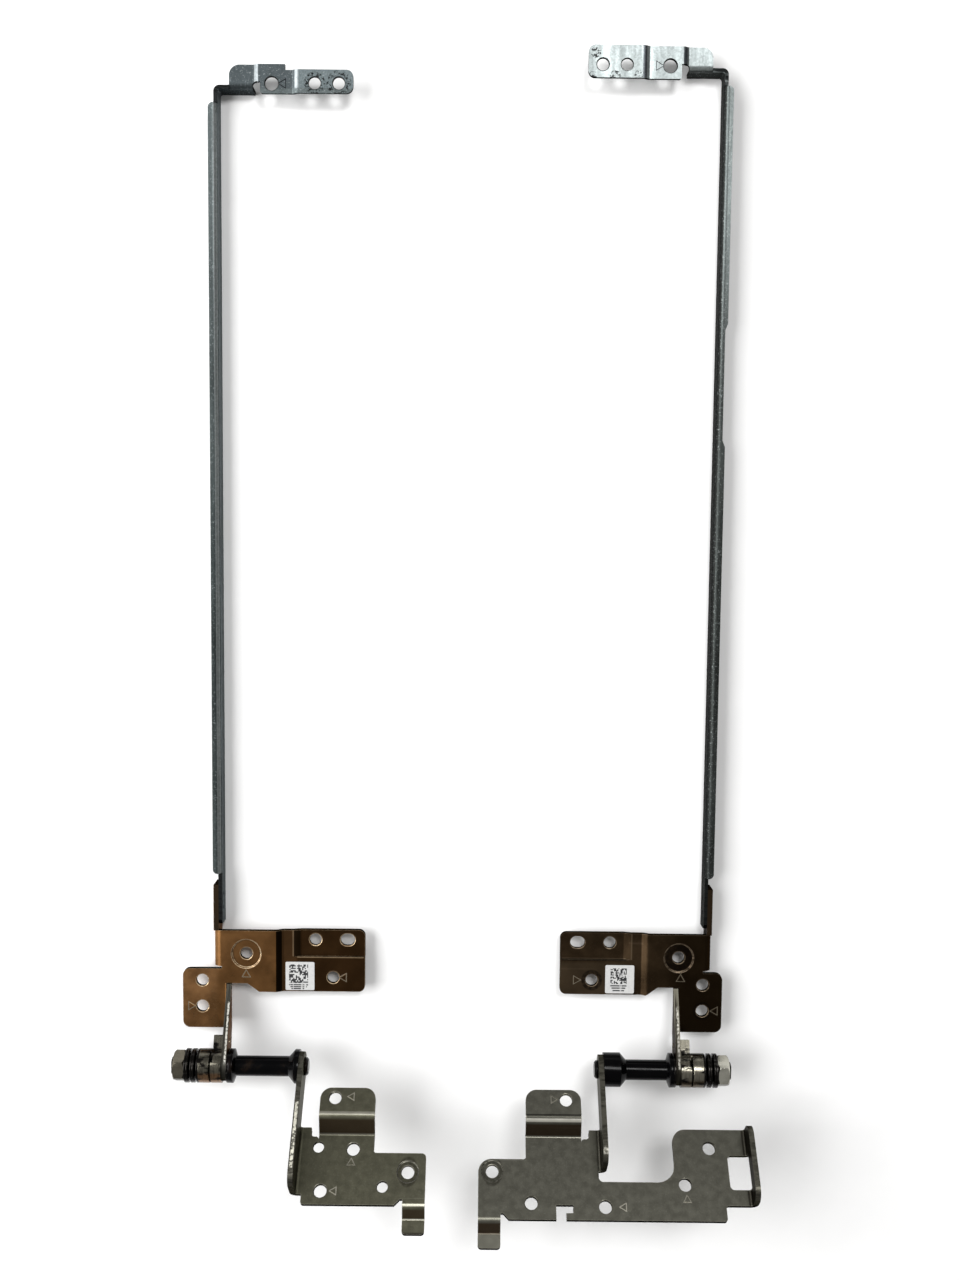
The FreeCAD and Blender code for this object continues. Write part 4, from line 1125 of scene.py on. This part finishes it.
LEFT_BASE_EDGE = ShearedEdge(
    "left_base_edge", (0.10, 0.096, 0.078), (0.032, 0.030, 0.024), (0.4, 0.55),
    strips=(LOWER_EDGE,
            # Painted highlight along the ear's cut edge.
            Strip(Axis.X, -0.03765, -0.03705, (0.85, 0.83, 0.71), 0.95, 0.0001, (-0.1175, -0.1070))))
RIGHT_BASE_EDGE = ShearedEdge(
    "right_base_edge", (0.10, 0.096, 0.078), (0.032, 0.030, 0.024), (0.4, 0.55),
    strips=(LOWER_EDGE,
            # Painted highlight on the ear's cut edge.
            Strip(Axis.Y, -0.1150, -0.1138, (0.34, 0.33, 0.29), 0.9, 0.0003, (0.0334, 0.0343))))
TONGUE_FADE = (Fade(Axis.Y, -0.0722, -0.0712, (0.032, 0.020, 0.011)),)
LEFT_EAR_EDGE = ShearedEdge(
    "left_ear_edge", (0.045, 0.043, 0.036), (0.014, 0.013, 0.010), (0.4, 0.55), TONGUE_FADE, ACROSS_X,
    # Painted highlight along the ear's cut edge.
    strips=(Strip(Axis.X, -0.05560, -0.05525, (0.42, 0.41, 0.37), 0.9, 0.0001, EAR_Y),))
RIGHT_EAR_EDGE = ShearedEdge(
    "right_ear_edge", (0.06, 0.056, 0.044), (0.010, 0.009, 0.007), (0.4, 0.55), TONGUE_FADE, ACROSS_X,
    # Painted highlight along the ear's cut edge.
    strips=(Strip(Axis.X, 0.05195, 0.05235, (0.27, 0.26, 0.23), 0.9, 0.0001, EAR_Y),))
# Rounded mouths of holes and recesses, lighter than their plates as a painted highlight.
BRONZE_RIM = ShearedEdge("bronze_rim", (0.62, 0.47, 0.30), (0.22, 0.14, 0.08), fades=TONGUE_FADE)
BROWN_RIM = ShearedEdge("brown_rim", (0.26, 0.20, 0.14), (0.05, 0.035, 0.022), fades=TONGUE_FADE)
NICKEL_RIM = ShearedEdge("nickel_rim", (0.15, 0.145, 0.120), (0.05, 0.048, 0.038))
# Rail cut edges, hole walls and hole mouths, painted near black as shade.
ZINC_EDGE = ShearedEdge("zinc_edge", (0.022, 0.024, 0.024), (0.007, 0.0075, 0.0075))
ZINC_RIM = ShearedEdge("zinc_rim", (0.032, 0.034, 0.034), (0.010, 0.011, 0.011))
NICKEL_SCORE = PlatedSheet("nickel_score", (0.60, 0.57, 0.48), (0.42, 0.40, 0.33), (0.75, 0.72, 0.65))
BRIGHT_SCORE = PlatedSheet("bright_score", (0.50, 0.44, 0.34), (0.34, 0.30, 0.22), (0.7, 0.65, 0.55))
DARK_SCORE = PlatedSheet("dark_score", (0.02, 0.022, 0.024), (0.012, 0.013, 0.014), (0.05, 0.05, 0.05))
LEFT_SHAFT = BlackOxide("left_black_shaft")
RIGHT_SHAFT = BlackOxide("right_black_shaft", rubbed=(0.002, 0.002, 0.002), gloss=0.07)
# The two cam rings are one greased steel, painted as lit and shaded copies, the right one's steel
# lighter.
LEFT_RING = GreasedSteel("left_greased_ring", (0.12, 0.112, 0.088), (0.21, 0.122, 0.065),
                         grease_share=0.45, brown_drop=(0.0, 0.8))
RIGHT_RING = GreasedSteel("right_greased_ring", (0.20, 0.188, 0.15), (0.10, 0.078, 0.05),
                          grease_share=0.43)
SPRING = GreasedSteel("greased_spring", (0.13, 0.125, 0.115), (0.06, 0.04, 0.026), grease_share=0.62)

LEFT_ARM_STAMPS = [Mark(-52.2, 20.35, Tip.UP), Mark(-28.7, 19.6, Tip.OUTBOARD),
                   Mark(-65.6, 12.5, Tip.INBOARD)]
RIGHT_ARM_STAMPS = [Mark(-52.7, 20.35, Tip.UP), Mark(-27.5, 19.6, Tip.OUTBOARD),
                    Mark(-61.2, 12.5, Tip.INBOARD)]
LEFT_RAIL_STAMP = Mark(-42.75, 228.8, Tip.OUTBOARD)
RIGHT_RAIL_STAMP = Mark(-42.75, 233.6, Tip.OUTBOARD)
BASE_MARK = 1.2
LEFT_BASE_STAMPS = [Mark(12.9, -7.0, Tip.OUTBOARD, BASE_MARK), Mark(13.4, -20.9, Tip.UP, BASE_MARK),
                    Mark(9.9, -27.2, Tip.OUTBOARD, BASE_MARK)]
RIGHT_BASE_STAMPS = [Mark(12.0, -7.2, Tip.OUTBOARD, BASE_MARK),
                     Mark(-3.6, -30.1, Tip.INBOARD, BASE_MARK),
                     Mark(-18.1, -28.4, Tip.UP, BASE_MARK)]
LEFT_LABEL = StickerLabel(Side.LEFT, (0.12, 0.25, 0.66), (0.19, 0.12, 0.055))
RIGHT_LABEL = StickerLabel(Side.RIGHT, (0.18, 0.33, 0.56), (0.27, 0.19, 0.10))


def main() -> None:
    """Build the looks piece by piece and report each one."""
    logging.basicConfig(level=logging.INFO, format="%(name)s: %(message)s")
    DisplayArm(Side.LEFT, BRONZE, LEFT_ZINC, LEFT_EAR_EDGE, BRIGHT_SCORE, BRONZE_RIM,
               LEFT_ARM_STAMPS, LEFT_RAIL_STAMP, LEFT_LABEL).build()
    DisplayArm(Side.RIGHT, BROWN, RIGHT_ZINC, RIGHT_EAR_EDGE, BRIGHT_SCORE, BROWN_RIM,
               RIGHT_ARM_STAMPS, RIGHT_RAIL_STAMP, RIGHT_LABEL).build()
    BaseSide(Side.LEFT, LEFT_NICKEL, LEFT_BASE_EDGE, NICKEL_SCORE, NICKEL_RIM,
             LEFT_BASE_STAMPS).build()
    BaseSide(Side.RIGHT, RIGHT_NICKEL, RIGHT_BASE_EDGE, NICKEL_SCORE, NICKEL_RIM,
             RIGHT_BASE_STAMPS).build()
    TorqueStack(Side.LEFT).build(LEFT_SHAFT, LEFT_RING, SPRING, LEFT_NUT)
    TorqueStack(Side.RIGHT).build(RIGHT_SHAFT, RIGHT_RING, SPRING, RIGHT_NUT)
    Studio().build()


if __name__ == "__main__":
    main()
